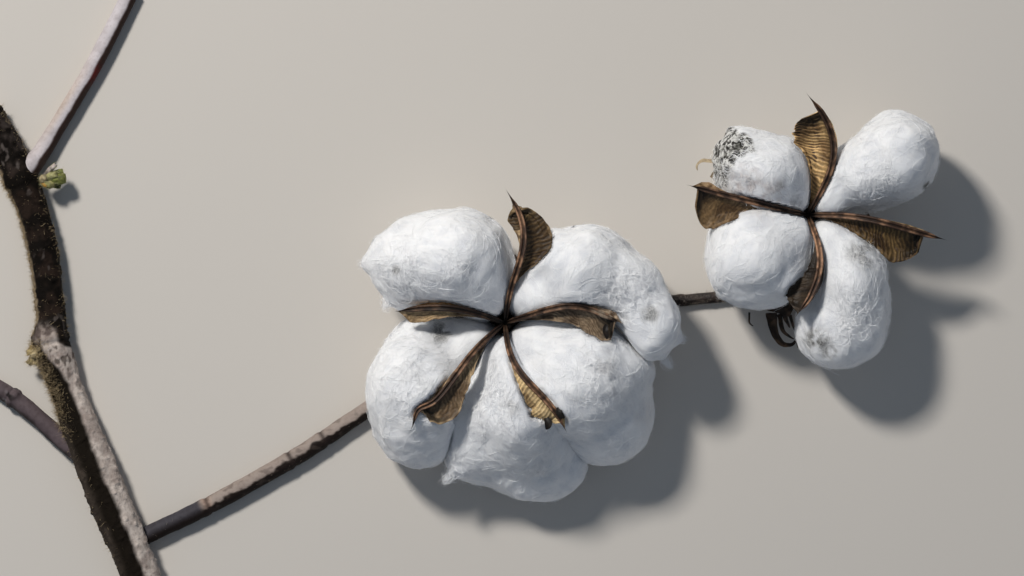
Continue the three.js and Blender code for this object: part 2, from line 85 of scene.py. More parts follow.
# Valves. path: heading, reach, bow, sway. heights: root, crest and tip. left and right walls: width seen
# from above, drop in degrees, share of the reach where it is widest and where it ends, share from which
# it lies bare of cotton, sag (below zero it bulges), share where it starts, and how much of its width its
# torn end still has. lining: colour of the walls' inner face. veins: their slant from square to the ridge
# in degrees, how deep they are and how much they wander. horn: side hook of the tip. kink: side bend just
# before the tip. lean: how far the walls' rims lean towards the tip. worn: share from which the ridge is
# worn pale. flakes: dark curled scraps at torn ends, as start, heading, length and width.
CREST_AT = 0.55
SEPTUM_DEPTH = 6.5
BOLL_1 = {
    "number": 1,
    "centre": [0.0, 0.0],
    "foot": [0.0, -0.7],
    "valves": [
        {"path": [88.3, 36.7, -3.8, 1.4], "heights": [23, 33.5, 32], "horn": 0.4,
         "left": [3.0, 30, 0.8, 0.87, 0.55, 0.1, 0.5, 0.6],
         "right": [7.4, 24, 0.6, 0.845, 0.34, 0.16, 0.3, 0.35],
         "lining": [0.29, 0.19, 0.085], "ridge": 2.2, "veins": [22, 1.2, 0.8]},
        {"path": [173.5, 30.0, -2.4, 0], "heights": [23, 33, 29.5], "horn": 0.0,
         "left": [3.4, 30, 0.8, 0.97, 0.1, 0.1, 0.05, 0.6], "right": [0.9, 72, 0.6, 0.9, 0.3, 0.1, 0.1, 0],
         "lining": [0.44, 0.30, 0.16], "ridge": 0.75, "veins": [74, 0.6, 1.3]},
        {"path": [226.5, 39.4, 0, -0.9], "heights": [23, 36.2, 37.2], "horn": 1.3, "kink": -1.7,
         "left": [6.7, 14, 0.70, 0.82, 0.12, 0.12, 0.1, 0.62], "right": [0.9, 60, 0.6, 0.9, 0.3, 0.1, 0.1, 0],
         "lining": [0.52, 0.37, 0.21], "ridge": 2.0, "veins": [50, 0.9, 1.2]},
        {"path": [300.2, 34.0, -2.6, -1.2], "heights": [23, 36, 37.2], "horn": -0.3,
         "left": [1.0, 60, 0.92, 0.98, 0.8, 0.1, 0.8, 0.5],
         "right": [5.0, 16, 0.70, 0.885, 0.28, -0.26, 0.26, 0.42],
         "lining": [0.95, 0.70, 0.36], "ridge": 2.2, "veins": [8, 1.0, 0.5],
         "flakes": [[11.7, -26.2, 36.2, 272, 3.2, 2.0], [14.6, -23.4, 36.9, 300, 3.4, 1.7]]},
        {"path": [359.0, 32.4, 4.9, -0.6], "heights": [23, 34.5, 33], "horn": 0.5,
         "left": [1.6, 24, 0.85, 0.98, 0.55, 0.1, 0.5, 0.5],
         "right": [5.9, 22, 0.62, 0.915, 0.1, 0.12, 0.05, 0.9], "lean": 0.4, "worn": 0.7,
         "lining": [0.34, 0.245, 0.155], "ridge": 1.5, "veins": [62, 0.9, 1.2],
         "flakes": [[28.3, -0.4, 33.2, 266, 4.0, 1.5]]},
    ],
    # Puffs of each lock: centre and radii.
    "locks": [
        [[[-13.4, 18.6, 20], [15.2, 13.6, 23]], [[-27.4, 16.4, 19], [11.4, 11.6, 16]],
         [[-6.0, 10.0, 19], [7.6, 8.6, 13]]],
        [[[21.6, 15.0, 20], [15.0, 13.0, 20]], [[35.6, 9.8, 20], [8.6, 9.6, 15]],
         [[41.2, -0.6, 25], [7.8, 10.2, 11]], [[8.6, 7.8, 18], [8.8, 7.6, 12]]],
        [[[-25.4, -18.2, 19], [13.8, 14.6, 18.5]], [[-13.4, -7.8, 13], [10.6, 7.6, 10.4]],
         [[-22.0, -7.0, 12], [11.0, 8.0, 11.6]], [[-8.4, -4.2, 15], [6.4, 4.6, 10]],
         [[-24.2, -29.4, 14], [12.2, 11.4, 16]]],
        [[[3.4, -24.6, 19], [12.4, 14.6, 20]], [[8.0, -37.6, 8], [16.2, 13.4, 11]],
         [[5.6, -31.0, 13], [14.0, 13.4, 15]],
         [[-9.6, -29.5, 13], [9.4, 14.4, 14]], [[-0.6, -11.6, 18], [5.6, 8.0, 12]]],
        [[[21.0, -16.4, 20], [15.6, 15.8, 20.5]], [[28.8, -27.4, 12], [13.0, 13.4, 15.5]],
         [[32.0, -12.6, 14], [9.0, 9.4, 14]],
         [[9.6, -6.4, 17], [9.0, 7.4, 11]]],
    ],
    "bracts": [
        {"heading": 60, "reach": 25, "lift": 5.0, "strands": []},
        {"heading": 165, "reach": 26, "lift": 5.5, "strands": []},
        {"heading": 290, "reach": 25, "lift": 5.0, "strands": []},
    ],
}
BOLL_2 = {
    "number": 2,
    "centre": [84.9, 30.3],
    "foot": [71.4, 10.0],
    "valves": [
        {"path": [90, 33.0, -6.6, 0.4], "heights": [23, 32, 35], "horn": 0.6,
         "left": [9.9, 18, 0.54, 0.825, 0.1, 0.16, 0.0, 0.53], "right": [0.9, 60, 0.6, 0.9, 0.3, 0.1, 0.1, 0],
         "lean": 0.36, "lining": [1.0, 0.66, 0.30], "ridge": 1.7, "veins": [6, 1.2, 0.8]},
        {"path": [166.6, 34.6, 0.3, 0], "heights": [23, 33, 33], "horn": 0.0,
         "left": [9.8, 26, 0.74, 0.885, 0.56, 0.1, 0.3, 0.5],
         "right": [1.8, 45, 0.84, 0.93, 0.6, 0.1, 0.6, 0.5],
         "lining": [0.25, 0.155, 0.07], "ridge": 1.7, "veins": [30, 0.7, 1.2]},
        # The third valve's lining is its own dark brown, painted darker still as in shade: its steep wall is
        # turned from the light.
        {"path": [264.0, 28.0, 4.1, 0], "heights": [23, 34.5, 34.5], "horn": -0.6,
         "left": [1.1, 70, 0.6, 0.9, 0.3, 0.1, 0.1, 0], "right": [5.0, 40, 0.76, 0.97, 0.26, 0.1, 0.2, 0.6],
         "lean": 0.3, "lining": [0.055, 0.037, 0.022], "ridge": 2.9, "veins": [20, 0.5, 1.2]},
        {"path": [349.5, 38.4, 1.6, 0.3], "heights": [23, 32, 30], "horn": 0.0,
         "left": [0.8, 60, 0.7, 0.95, 0.3, 0.1, 0.1, 0], "right": [8.6, 30, 0.62, 0.80, 0.1, 0.12, 0.05, 0.6],
         "lean": 0.25, "lining": [0.25, 0.155, 0.06], "ridge": 1.8, "veins": [10, 1.2, 0.8]},
    ],
    "locks": [
        [[[-11.2, 11.6, 20], [11.6, 11.0, 20]], [[-18.8, 15.0, 19], [7.0, 10.4, 16]],
         [[-5.0, 5.6, 19], [5.4, 5.4, 11]]],
        [[[25.0, 16.6, 20], [12.2, 12.8, 20.5]], [[14.6, 10.6, 19.5], [9.8, 9.0, 16]],
         [[6.4, 4.8, 19], [5.6, 5.4, 11]]],
        [[[-14.3, -12.0, 19.5], [14.4, 14.6, 20.5]], [[-5.0, -5.4, 19], [6.4, 6.0, 12]]],
        [[[12.0, -18.6, 18], [9.8, 14.2, 18.5]], [[9.4, -32.6, 16], [12.5, 10.8, 16.5]],
         [[14.8, -24.0, 15], [8.6, 10.5, 15]], [[5.4, -8.4, 18], [6.2, 7.4, 11]]],
    ],
    "bracts": [
        {"heading": 255, "reach": 36, "lift": 7.5, "strands": [
            [251, 28.9, 270, 15.5, 160, 3.0], [255.1, 28.8, 285, 9, 60, 1.4], [262, 28.2, 290, 10, -20, 1.0],
            [240.3, 31.4, 262, 4.5, 70, 0.6], [257.8, 27.9, 290, 5, 10, 1.6]]},
        {"heading": 151, "reach": 34, "lift": 9.0, "straw": True,
         "strands": [[148.5, 28, 158, 8.6, 125, 1.7]]},
        {"heading": 25, "reach": 24, "lift": 6.0, "strands": []},
    ],
}

# A lock's skin lies where its puffs' strength falls to SWELL, or to TOUCH times a neighbour's. FIRMNESS is
# how sharply a puff's strength falls off. Within about FILL_WIDTH of the burr and above FILL_FROM, a lock is
# stronger by up to FILL_ALONE, or by FILL_BESIDE against a neighbour, so that it fills the corners there.
# Above PARTED_FROM the ridges part the locks, give or take PARTED_SLACK.
FIRMNESS = 5.0
SWELL = 1.08
TOUCH = 1.02
FILL_ALONE = 0.45
FILL_BESIDE = 1.8
FILL_WIDTH = 2.4
FILL_FROM = 10
PARTED_FROM = 15
PARTED_SLACK = 1.5
RAY_START = 0.6
RAY_STEP = 0.8
LOCK_REACH = 62.0
RAY_HALVINGS = 5

# Places on the cotton, seen from above: x, y, radius, strength. They fade in over MARK_HEIGHTS.
MARK_HEIGHTS = (8, 16)
CRUST = [
    [62.2, 53.4, 4.4, 0.8], [62.6, 49.1, 6.0, 1.0], [66.4, 50.2, 4.0, 0.8], [60.4, 44.6, 5.0, 0.95],
    [59.8, 39.6, 3.6, 0.7],
]
SOIL = [
    [87.2, -4.6, 4.6, 0.8], [90.5, -8.0, 3.2, 0.6], [99.6, 19.6, 6.0, 0.5], [76.6, 38.6, 2.2, 0.35],
    [81.2, 33.6, 2.6, 0.4], [40.3, 2.6, 3.4, 0.6],
    [-30.2, 14.8, 1.7, 0.6], [-18.0, -2.6, 4.2, 0.7], [28.0, -11.3, 3.8, 0.3], [2.2, -23.5, 3.2, 0.3],
    [-20.5, -19.0, 3.0, 0.2], [118.4, 38.4, 1.9, 0.9],
]
STAIN = [[66.6, 38.6, 6.6, 0.5], [73.5, 34.5, 7.0, 0.45], [62.5, 36.0, 4.0, 0.5], [38.0, -25.0, 5.0, 0.12]]
FLUFFY = [
    [35.3, 7.9, 10.0, 1.0], [25.8, -16.3, 9.0, 1.0], [-2.2, -22.7, 11.0, 1.0], [-27.7, 13.4, 8.0, 0.8],
    [-11.9, 17.0, 7.0, 0.6], [-26.4, -17.1, 9.0, 0.75], [-13.9, -40.7, 5.0, 1.0], [10.0, -36.0, 8.0, 0.4],
    [101.3, 18.9, 6.5, 0.9], [98.0, 2.3, 8.0, 1.0], [104.1, 37.0, 8.0, 0.7], [62.5, 45.3, 8.0, 0.9],
]
CALM = [[70.0, 17.0, 15.0, 0.75], [-20.0, 24.0, 9.0, 0.5], [16.0, 20.0, 9.0, 0.5]]
# Tufts that stand out of the cotton: x, y, z, heading, length.
TUFTS = [
    [-38.0, 16.4, 20, 178, 1.6], [-32.6, 6.0, 22, 240, 1.2], [-28.0, 5.0, 20, 262, 1.2],
    [-14.5, -42.5, 18, 225, 2.6], [98.5, 46.5, 22, 140, 1.6], [92.5, 40.5, 20, 130, 1.4],
    [47.5, -4.0, 22, 340, 2.0], [45.0, -10.5, 20, 310, 1.6],
]
TUFT_SPREAD = 2.6

CLEAN_FIBRE = [0.95, 0.953, 0.96]


# Patterns and curves

TURNED = np.array([[0.36, 0.48, -0.8], [-0.8, 0.6, 0.0], [0.48, 0.64, 0.6]])
noise_tables = [np.random.default_rng(seed).random((32, 32, 32)) * 2 - 1 for seed in range(6)]


def noise(points, size, table=0):
    """Smooth noise from -1 to 1: random values at the corners, `size` apart, of a lattice turned off the
    axes, each point blending its cell's 8 corners by smoothstep weights."""
    values = noise_tables[table]
    q = points @ TURNED / size
    cell = np.floor(q).astype(np.int64)
    f = q - cell
    f = f * f * (3 - 2 * f)
    total = np.zeros(points.shape[:-1])
    for corner in itertools.product((0, 1), repeat=3):
        at = (cell + corner) & 31
        weight = np.prod(np.where(np.array(corner) == 1, f, 1 - f), axis=-1)
        total += values[at[..., 0], at[..., 1], at[..., 2]] * weight
    return total


def rough(points, size, octaves=3, table=0):
    """Noise summed over octaves, each half the size and half the strength of the one before."""
    return sum(noise(points + 13.7 * k, size / 2**k, table) * 0.5**k for k in range(octaves))


def noise_vectors(points, size):
    """Noise that moves points: each part of the vector is read from a table of its own."""
    return np.stack([noise(points, size, table) for table in (1, 2, 3)], axis=-1)


def unit(vectors):
    """The vectors, each divided by its length."""
    return vectors / np.maximum(np.linalg.norm(vectors, axis=-1, keepdims=True), 1e-9)


def toward(degrees, rise=0.0):
    """A direction from its heading seen from above, anticlockwise from +X, and its rise."""
    heading = math.radians(degrees)
    return np.array([math.cos(heading), math.sin(heading), rise])


def smoothstep(low, high, x):
    """0 below low and 1 above high, with the cubic 3t^2 - 2t^3 between them."""
    t = np.clip((x - low) / (high - low), 0, 1)
    return t * t * (3 - 2 * t)


def swelling(x, middle, width, height=1.0):
    """A bell curve: its height at the middle, falling off over the width to both sides."""
    return height * np.exp(-(((x - middle) / width) ** 2))


def smooth_line(points, count):
    """count points spaced evenly along a smooth curve through the given ones: on each span a cubic whose
    end slopes weigh the neighbouring spans by the square roots of their lengths."""
    p = np.asarray(points, float)
    p = np.vstack([2 * p[0] - p[1], p, 2 * p[-1] - p[-2]])
    gap = np.sqrt(np.linalg.norm(np.diff(p, axis=0), axis=1))[:, None]
    p0, p1, p2, p3 = p[:-3], p[1:-2], p[2:-1], p[3:]
    d0, d1, d2 = gap[:-2], gap[1:-1], gap[2:]
    m1 = d1 * ((p1 - p0) / d0 - (p2 - p0) / (d0 + d1) + (p2 - p1) / d1)
    m2 = d1 * ((p2 - p1) / d1 - (p3 - p1) / (d1 + d2) + (p3 - p2) / d2)
    t = np.linspace(0, 1, 25)[:-1][:, None, None]
    line = p1 + m1 * t + (3 * (p2 - p1) - 2 * m1 - m2) * t**2 + (2 * (p1 - p2) + m1 + m2) * t**3
    line = np.vstack([np.swapaxes(line, 0, 1).reshape(-1, 3), p[-2]])
    travelled = np.concatenate([[0], np.cumsum(np.linalg.norm(np.diff(line, axis=0), axis=1))])
    at = np.linspace(0, travelled[-1], count)
    return np.stack([np.interp(at, travelled, line[:, k]) for k in range(3)], axis=1)


def marks(points, places):
    """How strongly points lie in any of the places, seen from above: a soft round patch at each."""
    total = np.zeros(points.shape[:-1])
    for x, y, radius, strength in places:
        gap = np.hypot(points[..., 0] - x, points[..., 1] - y)
        total = np.maximum(total, strength * (1 - smoothstep(radius * 0.3, radius * 1.1, gap)))
    return total * smoothstep(*MARK_HEIGHTS, points[..., 2])


def fluff_of(points):
    """How rough and loose the cotton is at points, from 0 to 1."""
    return np.clip(np.maximum(0.14, marks(points, FLUFFY)) - 0.3 * marks(points, CALM), 0.04, 1)


# Colours

def blend_colours(a, b, share):
    """Colour a, and as far as share says colour b."""
    share = np.asarray(share)[..., None]
    return np.asarray(a) * (1 - share) + np.asarray(b) * share


def layered(colour, *layers):
    """A colour with others laid over it in turn, each given with its share."""
    for over, share in layers:
        colour = blend_colours(colour, over, share)
    return colour


def two_tone(a, b, points, size, low, high, table, octaves=3):
    """A colour that wanders from a to b as rough noise goes from low to high."""
    return blend_colours(a, b, smoothstep(low, high, rough(points, size, octaves, table)))


# Meshes from arrays

def grid_faces(rows, columns):
    """Quads between neighbouring rows, and round the columns, of a grid numbered row by row."""
    row = np.arange(rows - 1)[:, None]
    column = np.arange(columns)[None, :]
    after = (column + 1) % columns
    corners = (row * columns + column, row * columns + after,
               (row + 1) * columns + after, (row + 1) * columns + column)
    return np.stack(np.broadcast_arrays(*corners), axis=-1).reshape(-1, 4)


def closed_skin(rings, first_end, last_end):
    """Points and faces of a closed skin over rings (rows, columns, 3), with one point closing each end."""
    rows, columns = rings.shape[:2]
    points = np.vstack([rings.reshape(-1, 3), first_end[None], last_end[None]])
    column = np.arange(columns)
    after = (column + 1) % columns
    base = (rows - 1) * columns
    start = np.stack([np.full(columns, rows * columns), after, column], axis=1)
    finish = np.stack([np.full(columns, rows * columns + 1), base + column, base + after], axis=1)
    return points, [grid_faces(rows, columns), start, finish]


def signed_volume(points, faces):
    """The sum of the tetrahedra from zero to each triangle of the fans that the faces are cut into."""
    total = 0.0
    for group in faces:
        for k in range(1, group.shape[1] - 1):
            a, b, c = points[group[:, 0]], points[group[:, k]], points[group[:, k + 1]]
            total += np.einsum("ij,ij->i", a, np.cross(b, c)).sum() / 6
    return total


def outward(points, faces):
    """The same skin with its faces turned to point outwards."""
    if signed_volume(points, faces) > 0:
        return points, faces
    return points, [group[:, ::-1] for group in faces]


def joined(parts):
    """Several (points, faces) as one, the faces renumbered."""
    points, groups, offset = [], [], 0
    for part_points, part_faces in parts:
        points.append(part_points)
        groups += [group + offset for group in part_faces]
        offset += len(part_points)
    return np.vstack(points), groups


def strips(paths, across, widths):
    """Flat strips along paths (count, steps, 3): two points a width apart at each step."""
    count, steps = paths.shape[:2]
    half = across * widths[..., None] / 2
    points = np.stack([paths - half, paths + half], axis=2).reshape(-1, 3)
    step = np.arange(steps - 1)[None, :]
    base = np.arange(count)[:, None] * steps * 2 + step * 2
    quads = np.stack([base, base + 1, base + 3, base + 2], axis=-1).reshape(-1, 4)
    return points, [quads]


def make_piece(name, points, faces, material, tint, stands_for=()):
    """A mesh object from layout points in millimetres and groups of equal-sided faces. tint is a colour
    for each point, on cotton with a fourth value that is 0 where crust covers it."""
    mesh = bpy.data.meshes.new(name)
    place = points * MM + LAYOUT_ZERO
    sizes = np.concatenate([np.full(len(group), group.shape[1]) for group in faces])
    corners = np.concatenate([group.ravel() for group in faces])
    mesh.vertices.add(len(place))
    mesh.vertices.foreach_set("co", place.astype(np.float32).ravel())
    mesh.loops.add(len(corners))
    mesh.loops.foreach_set("vertex_index", corners.astype(np.int32))
    mesh.polygons.add(len(sizes))
    mesh.polygons.foreach_set("loop_start", np.concatenate([[0], np.cumsum(sizes)[:-1]]).astype(np.int32))
    mesh.polygons.foreach_set("use_smooth", np.full(len(sizes), True))
    mesh.update(calc_edges=True)
    mesh.validate()
    colours = np.ones((len(place), 4), np.float32)
    colours[:, :tint.shape[1]] = tint
    layer = mesh.color_attributes.new("tint", "FLOAT_COLOR", "POINT")
    layer.data.foreach_set("color", colours.ravel())
    piece = bpy.data.objects.new(name, mesh)
    bpy.context.scene.collection.objects.link(piece)
    mesh.materials.append(material)
    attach(piece, "root")
    if stands_for:
        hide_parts(*stands_for)


HAIR_STEPS = 4


def grow_hairs(name, roots, directions, lengths, droop, width, tint, seed):
    """Short hairs as narrowing strips: each leaves its root along its direction and bends by droop times
    the square of its share along. tint is one colour, or one for each hair."""
    rng = np.random.default_rng(seed)
    t = np.linspace(0, 1, HAIR_STEPS)[None, :, None]
    bend = unit(rng.normal(size=roots.shape))
    paths = roots[:, None] + (directions[:, None] * t + bend[:, None] * droop * t**2) * lengths[:, None, None]
    across = unit(np.cross(directions, rng.normal(size=roots.shape)))
    widths = width * (1 - 0.8 * t[..., 0]) + 0 * lengths[:, None]
    points, faces = strips(paths, np.repeat(across[:, None], HAIR_STEPS, axis=1), widths)
    colour = np.repeat(np.broadcast_to(tint, roots.shape), 2 * HAIR_STEPS, axis=0)
    make_piece(name, points, faces, HAIR, colour)


# Materials

PUSH = 0.012  # how far coarse noise pushes the strands, in metres


def add_node(tree, kind, settings=(), inputs=()):
    """A shader node. settings go on the node itself, and each of its inputs takes a value or a socket."""
    node = tree.nodes.new(f"ShaderNode{kind}")
    for name, value in dict(settings).items():
        setattr(node, name, value)
    for label, value in dict(inputs).items():
        if isinstance(value, bpy.types.NodeSocket):
            tree.links.new(value, node.inputs[label])
        else:
            node.inputs[label].default_value = value
    return node


def add_group(name, inputs, output, build):
    """A shader node group: inputs are (name, default), and build(tree, entry) returns the socket that
    feeds its one output."""
    group = bpy.data.node_groups.new(name, "ShaderNodeTree")
    for label, value in inputs:
        socket = group.interface.new_socket(label, in_out="INPUT", socket_type="NodeSocketFloat")
        socket.default_value = value
    group.interface.new_socket(output, in_out="OUTPUT", socket_type="NodeSocketFloat")
    entry = group.nodes.new("NodeGroupInput")
    leave = group.nodes.new("NodeGroupOutput")
    group.links.new(build(group, entry.outputs), leave.inputs[output])
    return group


def build_mottle(tree, entry):
    """Soft-edged spots of the given size: noise on the object's own coordinates, stretched to a mask."""
    where = add_node(tree, "TexCoord").outputs["Object"]
    spots = add_node(tree, "TexNoise", inputs={"Vector": where, "Scale": entry["Scale"], "Detail": 4})
    mask = add_node(tree, "MapRange", inputs={
        "Value": spots.outputs["Fac"], "From Min": entry["Low"], "From Max": entry["High"]})
    return mask.outputs["Result"]


def build_wisps(tree, entry):
    """Height of fine wandering strands: noise coordinates pushed about by coarser noise, then ridged."""
    where = add_node(tree, "TexCoord").outputs["Object"]
    coarse = add_node(tree, "TexNoise", inputs={"Vector": where, "Scale": entry["Swirl"]})
    push = add_node(tree, "VectorMath", {"operation": "SCALE"}, {0: coarse.outputs["Color"], "Scale": PUSH})
    moved = add_node(tree, "VectorMath", inputs={0: where, 1: push.outputs["Vector"]})
    strands = add_node(tree, "TexNoise", {"noise_type": "RIDGED_MULTIFRACTAL"}, {
        "Vector": moved.outputs["Vector"], "Scale": entry["Scale"], "Detail": 3})
    return strands.outputs["Fac"]


MOTTLE = add_group("mottle", [("Scale", 300.0), ("Low", 0.4), ("High", 0.6)], "Mask", build_mottle)
WISPS = add_group("wisps", [("Scale", 400.0), ("Swirl", 90.0)], "Height", build_wisps)


def place_group(tree, group, **values):
    """The one output of a placed group."""
    return add_node(tree, "Group", {"node_tree": group}, values).outputs[0]


def darkened(tree, colour, mask, factor, amount):
    """The colour, multiplied by factor where the mask is 1, as far as amount says."""
    strength = add_node(tree, "Math", {"operation": "MULTIPLY"}, {0: mask, 1: amount}).outputs[0]
    mix = add_node(tree, "Mix", {"data_type": "RGBA", "blend_type": "MULTIPLY"}, {
        0: strength, 6: colour, 7: (*factor, 1)})
    return mix.outputs[2]


def add_material(name, roughness, spots=(), strands=None, **sockets):
    """The piece's tint, darkened in spots, with fine strands as bumps. Each of spots is its size, the low
    and high end of its noise, what the colour is multiplied by in it, how far, and whether it is only where
    the tint's fourth value says crust. strands is their size and swirl, their strength and their depth.
    Other values go on the shader's sockets."""
    material = bpy.data.materials.new(name)
    material.use_nodes = True
    tree = material.node_tree
    shader = tree.nodes["Principled BSDF"]
    for label, value in {"Roughness": roughness, **sockets}.items():
        shader.inputs[label.replace("_", " ")].default_value = value
    tint = add_node(tree, "VertexColor", {"layer_name": "tint"}).outputs
    colour = tint["Color"]
    for scale, low, high, factor, amount, only_crust in spots:
        mask = place_group(tree, MOTTLE, Scale=scale, Low=low, High=high)
        if only_crust:
            mask = add_node(tree, "Math", {"operation": "SUBTRACT", "use_clamp": True}, {
                0: mask, 1: tint["Alpha"]}).outputs[0]
        colour = darkened(tree, colour, mask, factor, amount)
    tree.links.new(colour, shader.inputs["Base Color"])
    if strands:
        scale, swirl, strength, depth = strands
        height = place_group(tree, WISPS, Scale=scale, Swirl=swirl)
        bump = add_node(tree, "Bump", inputs={"Height": height, "Strength": strength, "Distance": depth})
        tree.links.new(bump.outputs["Normal"], shader.inputs["Normal"])
    return material


def bark_material(name, roughness, scale, depth, blotch):
    """Bark with blotches, specks about a third of their size, and a grain that follows their scale."""
    spots = [(scale, 0.42, 0.66, (0.55, 0.5, 0.48), blotch, False),
             (scale * 3.1, 0.5, 0.62, (0.6, 0.56, 0.54), blotch, False)]
    grain = (scale * 1.4, scale * 0.4, 0.5, depth)
    return add_material(name, roughness, spots, grain, Specular_IOR_Level=0.12)


COTTON = add_material(
    "loose cotton", 0.95,
    [(1100.0, 0.5, 0.72, (0.9, 0.9, 0.91), 0.6, False),
     (1500.0, 0.52, 0.64, (0.14, 0.135, 0.12), 0.7, True),
     (560.0, 0.485, 0.55, (0.05, 0.047, 0.042), 0.95, True)],
    (850.0, 160.0, 0.2, 0.0002),
    Specular_IOR_Level=0.1, Subsurface_Weight=0.55, Subsurface_Scale=0.003,
    Subsurface_Radius=(1.0, 0.97, 0.95), Sheen_Weight=0.1, Sheen_Roughness=0.6)
FIBRE = add_material("cotton fibre", 0.8, Specular_IOR_Level=0.25, Sheen_Weight=0.1)
STEM_BARK = bark_material("rough stem bark", 0.85, 520.0, 0.0004, 0.36)
TWIG_BARK = bark_material("smooth twig bark", 0.6, 330.0, 0.00015, 0.26)
BURR = add_material("dry burr", 0.55, [(1300.0, 0.45, 0.6, (0.5, 0.44, 0.4), 0.55, False)],
                    (900.0, 260.0, 0.45, 0.00025), Specular_IOR_Level=0.28)
HAIR = add_material("plant hair", 0.6, Specular_IOR_Level=0.3)


# Stems

CUT_RINGS = (0.96, 0.8, 0.55, 0.25)
STEM_RIGHT = np.array([0.91, 0.41, 0.0])
RED_SPOT = [-117.0, 70.9]
LEAF_RINGS = (0.127, 0.262, 0.317, 0.547)


def frames_along(line, reference):
    """Two unit directions square to a line, the first lined up with the reference."""
    along = unit(np.gradient(line, axis=0))
    first = unit(reference - (along @ reference)[:, None] * along)
    return first, np.cross(along, first)


def limb_skin(line, radii, around, relief, reference=UP):
    """A closed skin: circles square to the line, moved outwards by relief(points, share along, angle),
    with flat cut ends of shrinking rings. Also gives each point's direction out of the limb, its share
    along it, and its share of the radius, which is 1 on the bark and less on a cut end."""
    first, second = frames_along(line, reference)
    angle = np.linspace(0, 2 * np.pi, around, endpoint=False)
    out = np.cos(angle)[None, :, None] * first[:, None] + np.sin(angle)[None, :, None] * second[:, None]
    rings = line[:, None] + out * radii[:, None, None]
    share = np.linspace(0, 1, len(line))[:, None] + 0 * angle
    rings = rings + out * relief(rings, share, angle[None, :] + 0 * share)[..., None]
    rings[..., 2] = np.maximum(rings[..., 2], 0.0)
    scale = np.array(CUT_RINGS)[:, None, None]
    start = (line[0] + (rings[0] - line[0])[None] * scale)[::-1]
    finish = line[-1] + (rings[-1] - line[-1])[None] * scale
    rings = np.concatenate([start, rings, finish])
    core = np.concatenate([CUT_RINGS[::-1], np.ones(len(line)), CUT_RINGS])
    core = np.append(np.repeat(core, around), [0, 0])
    ends = len(CUT_RINGS)
    out = np.concatenate([np.repeat(out[:1], ends, axis=0), out, np.repeat(out[-1:], ends, axis=0)])
    out = np.vstack([out.reshape(-1, 3), [UP, UP]])
    share = np.concatenate([share[:1]] * ends + [share] + [share[-1:]] * ends)
    share = np.append(share.ravel(), [0, 1])
    skin = outward(*closed_skin(rings, line[0], line[-1]))
    return skin, out, share, core


def with_cut_ends(colour, core, points):
    """The colour, and pale wood with a white pith where a limb is cut."""
    wood = blend_colours([0.80, 0.75, 0.66], [0.52, 0.42, 0.28], smoothstep(0.2, 0.35, core))
    wood = wood * (0.9 + 0.12 * noise(points, 0.8, 2))[:, None]
    return layered(colour, (layered(wood, ([0.16, 0.10, 0.06], smoothstep(0.85, 0.96, core))), core < 0.99))


def make_limb(node, material, limb, colour):
    """The piece that stands for a stem: its skin in its colour, with cut ends."""
    (points, faces), _, _, core = limb
    colour = with_cut_ends(colour, core, points)
    make_piece(f"{node}_bark", points, faces, material, colour, [node])


def stem_line(sizes, count):
    """The centre line of a stem that lies on the floor, and its radii, which are its heights."""
    line = smooth_line(sizes, count)
    return line, line[:, 2].copy()


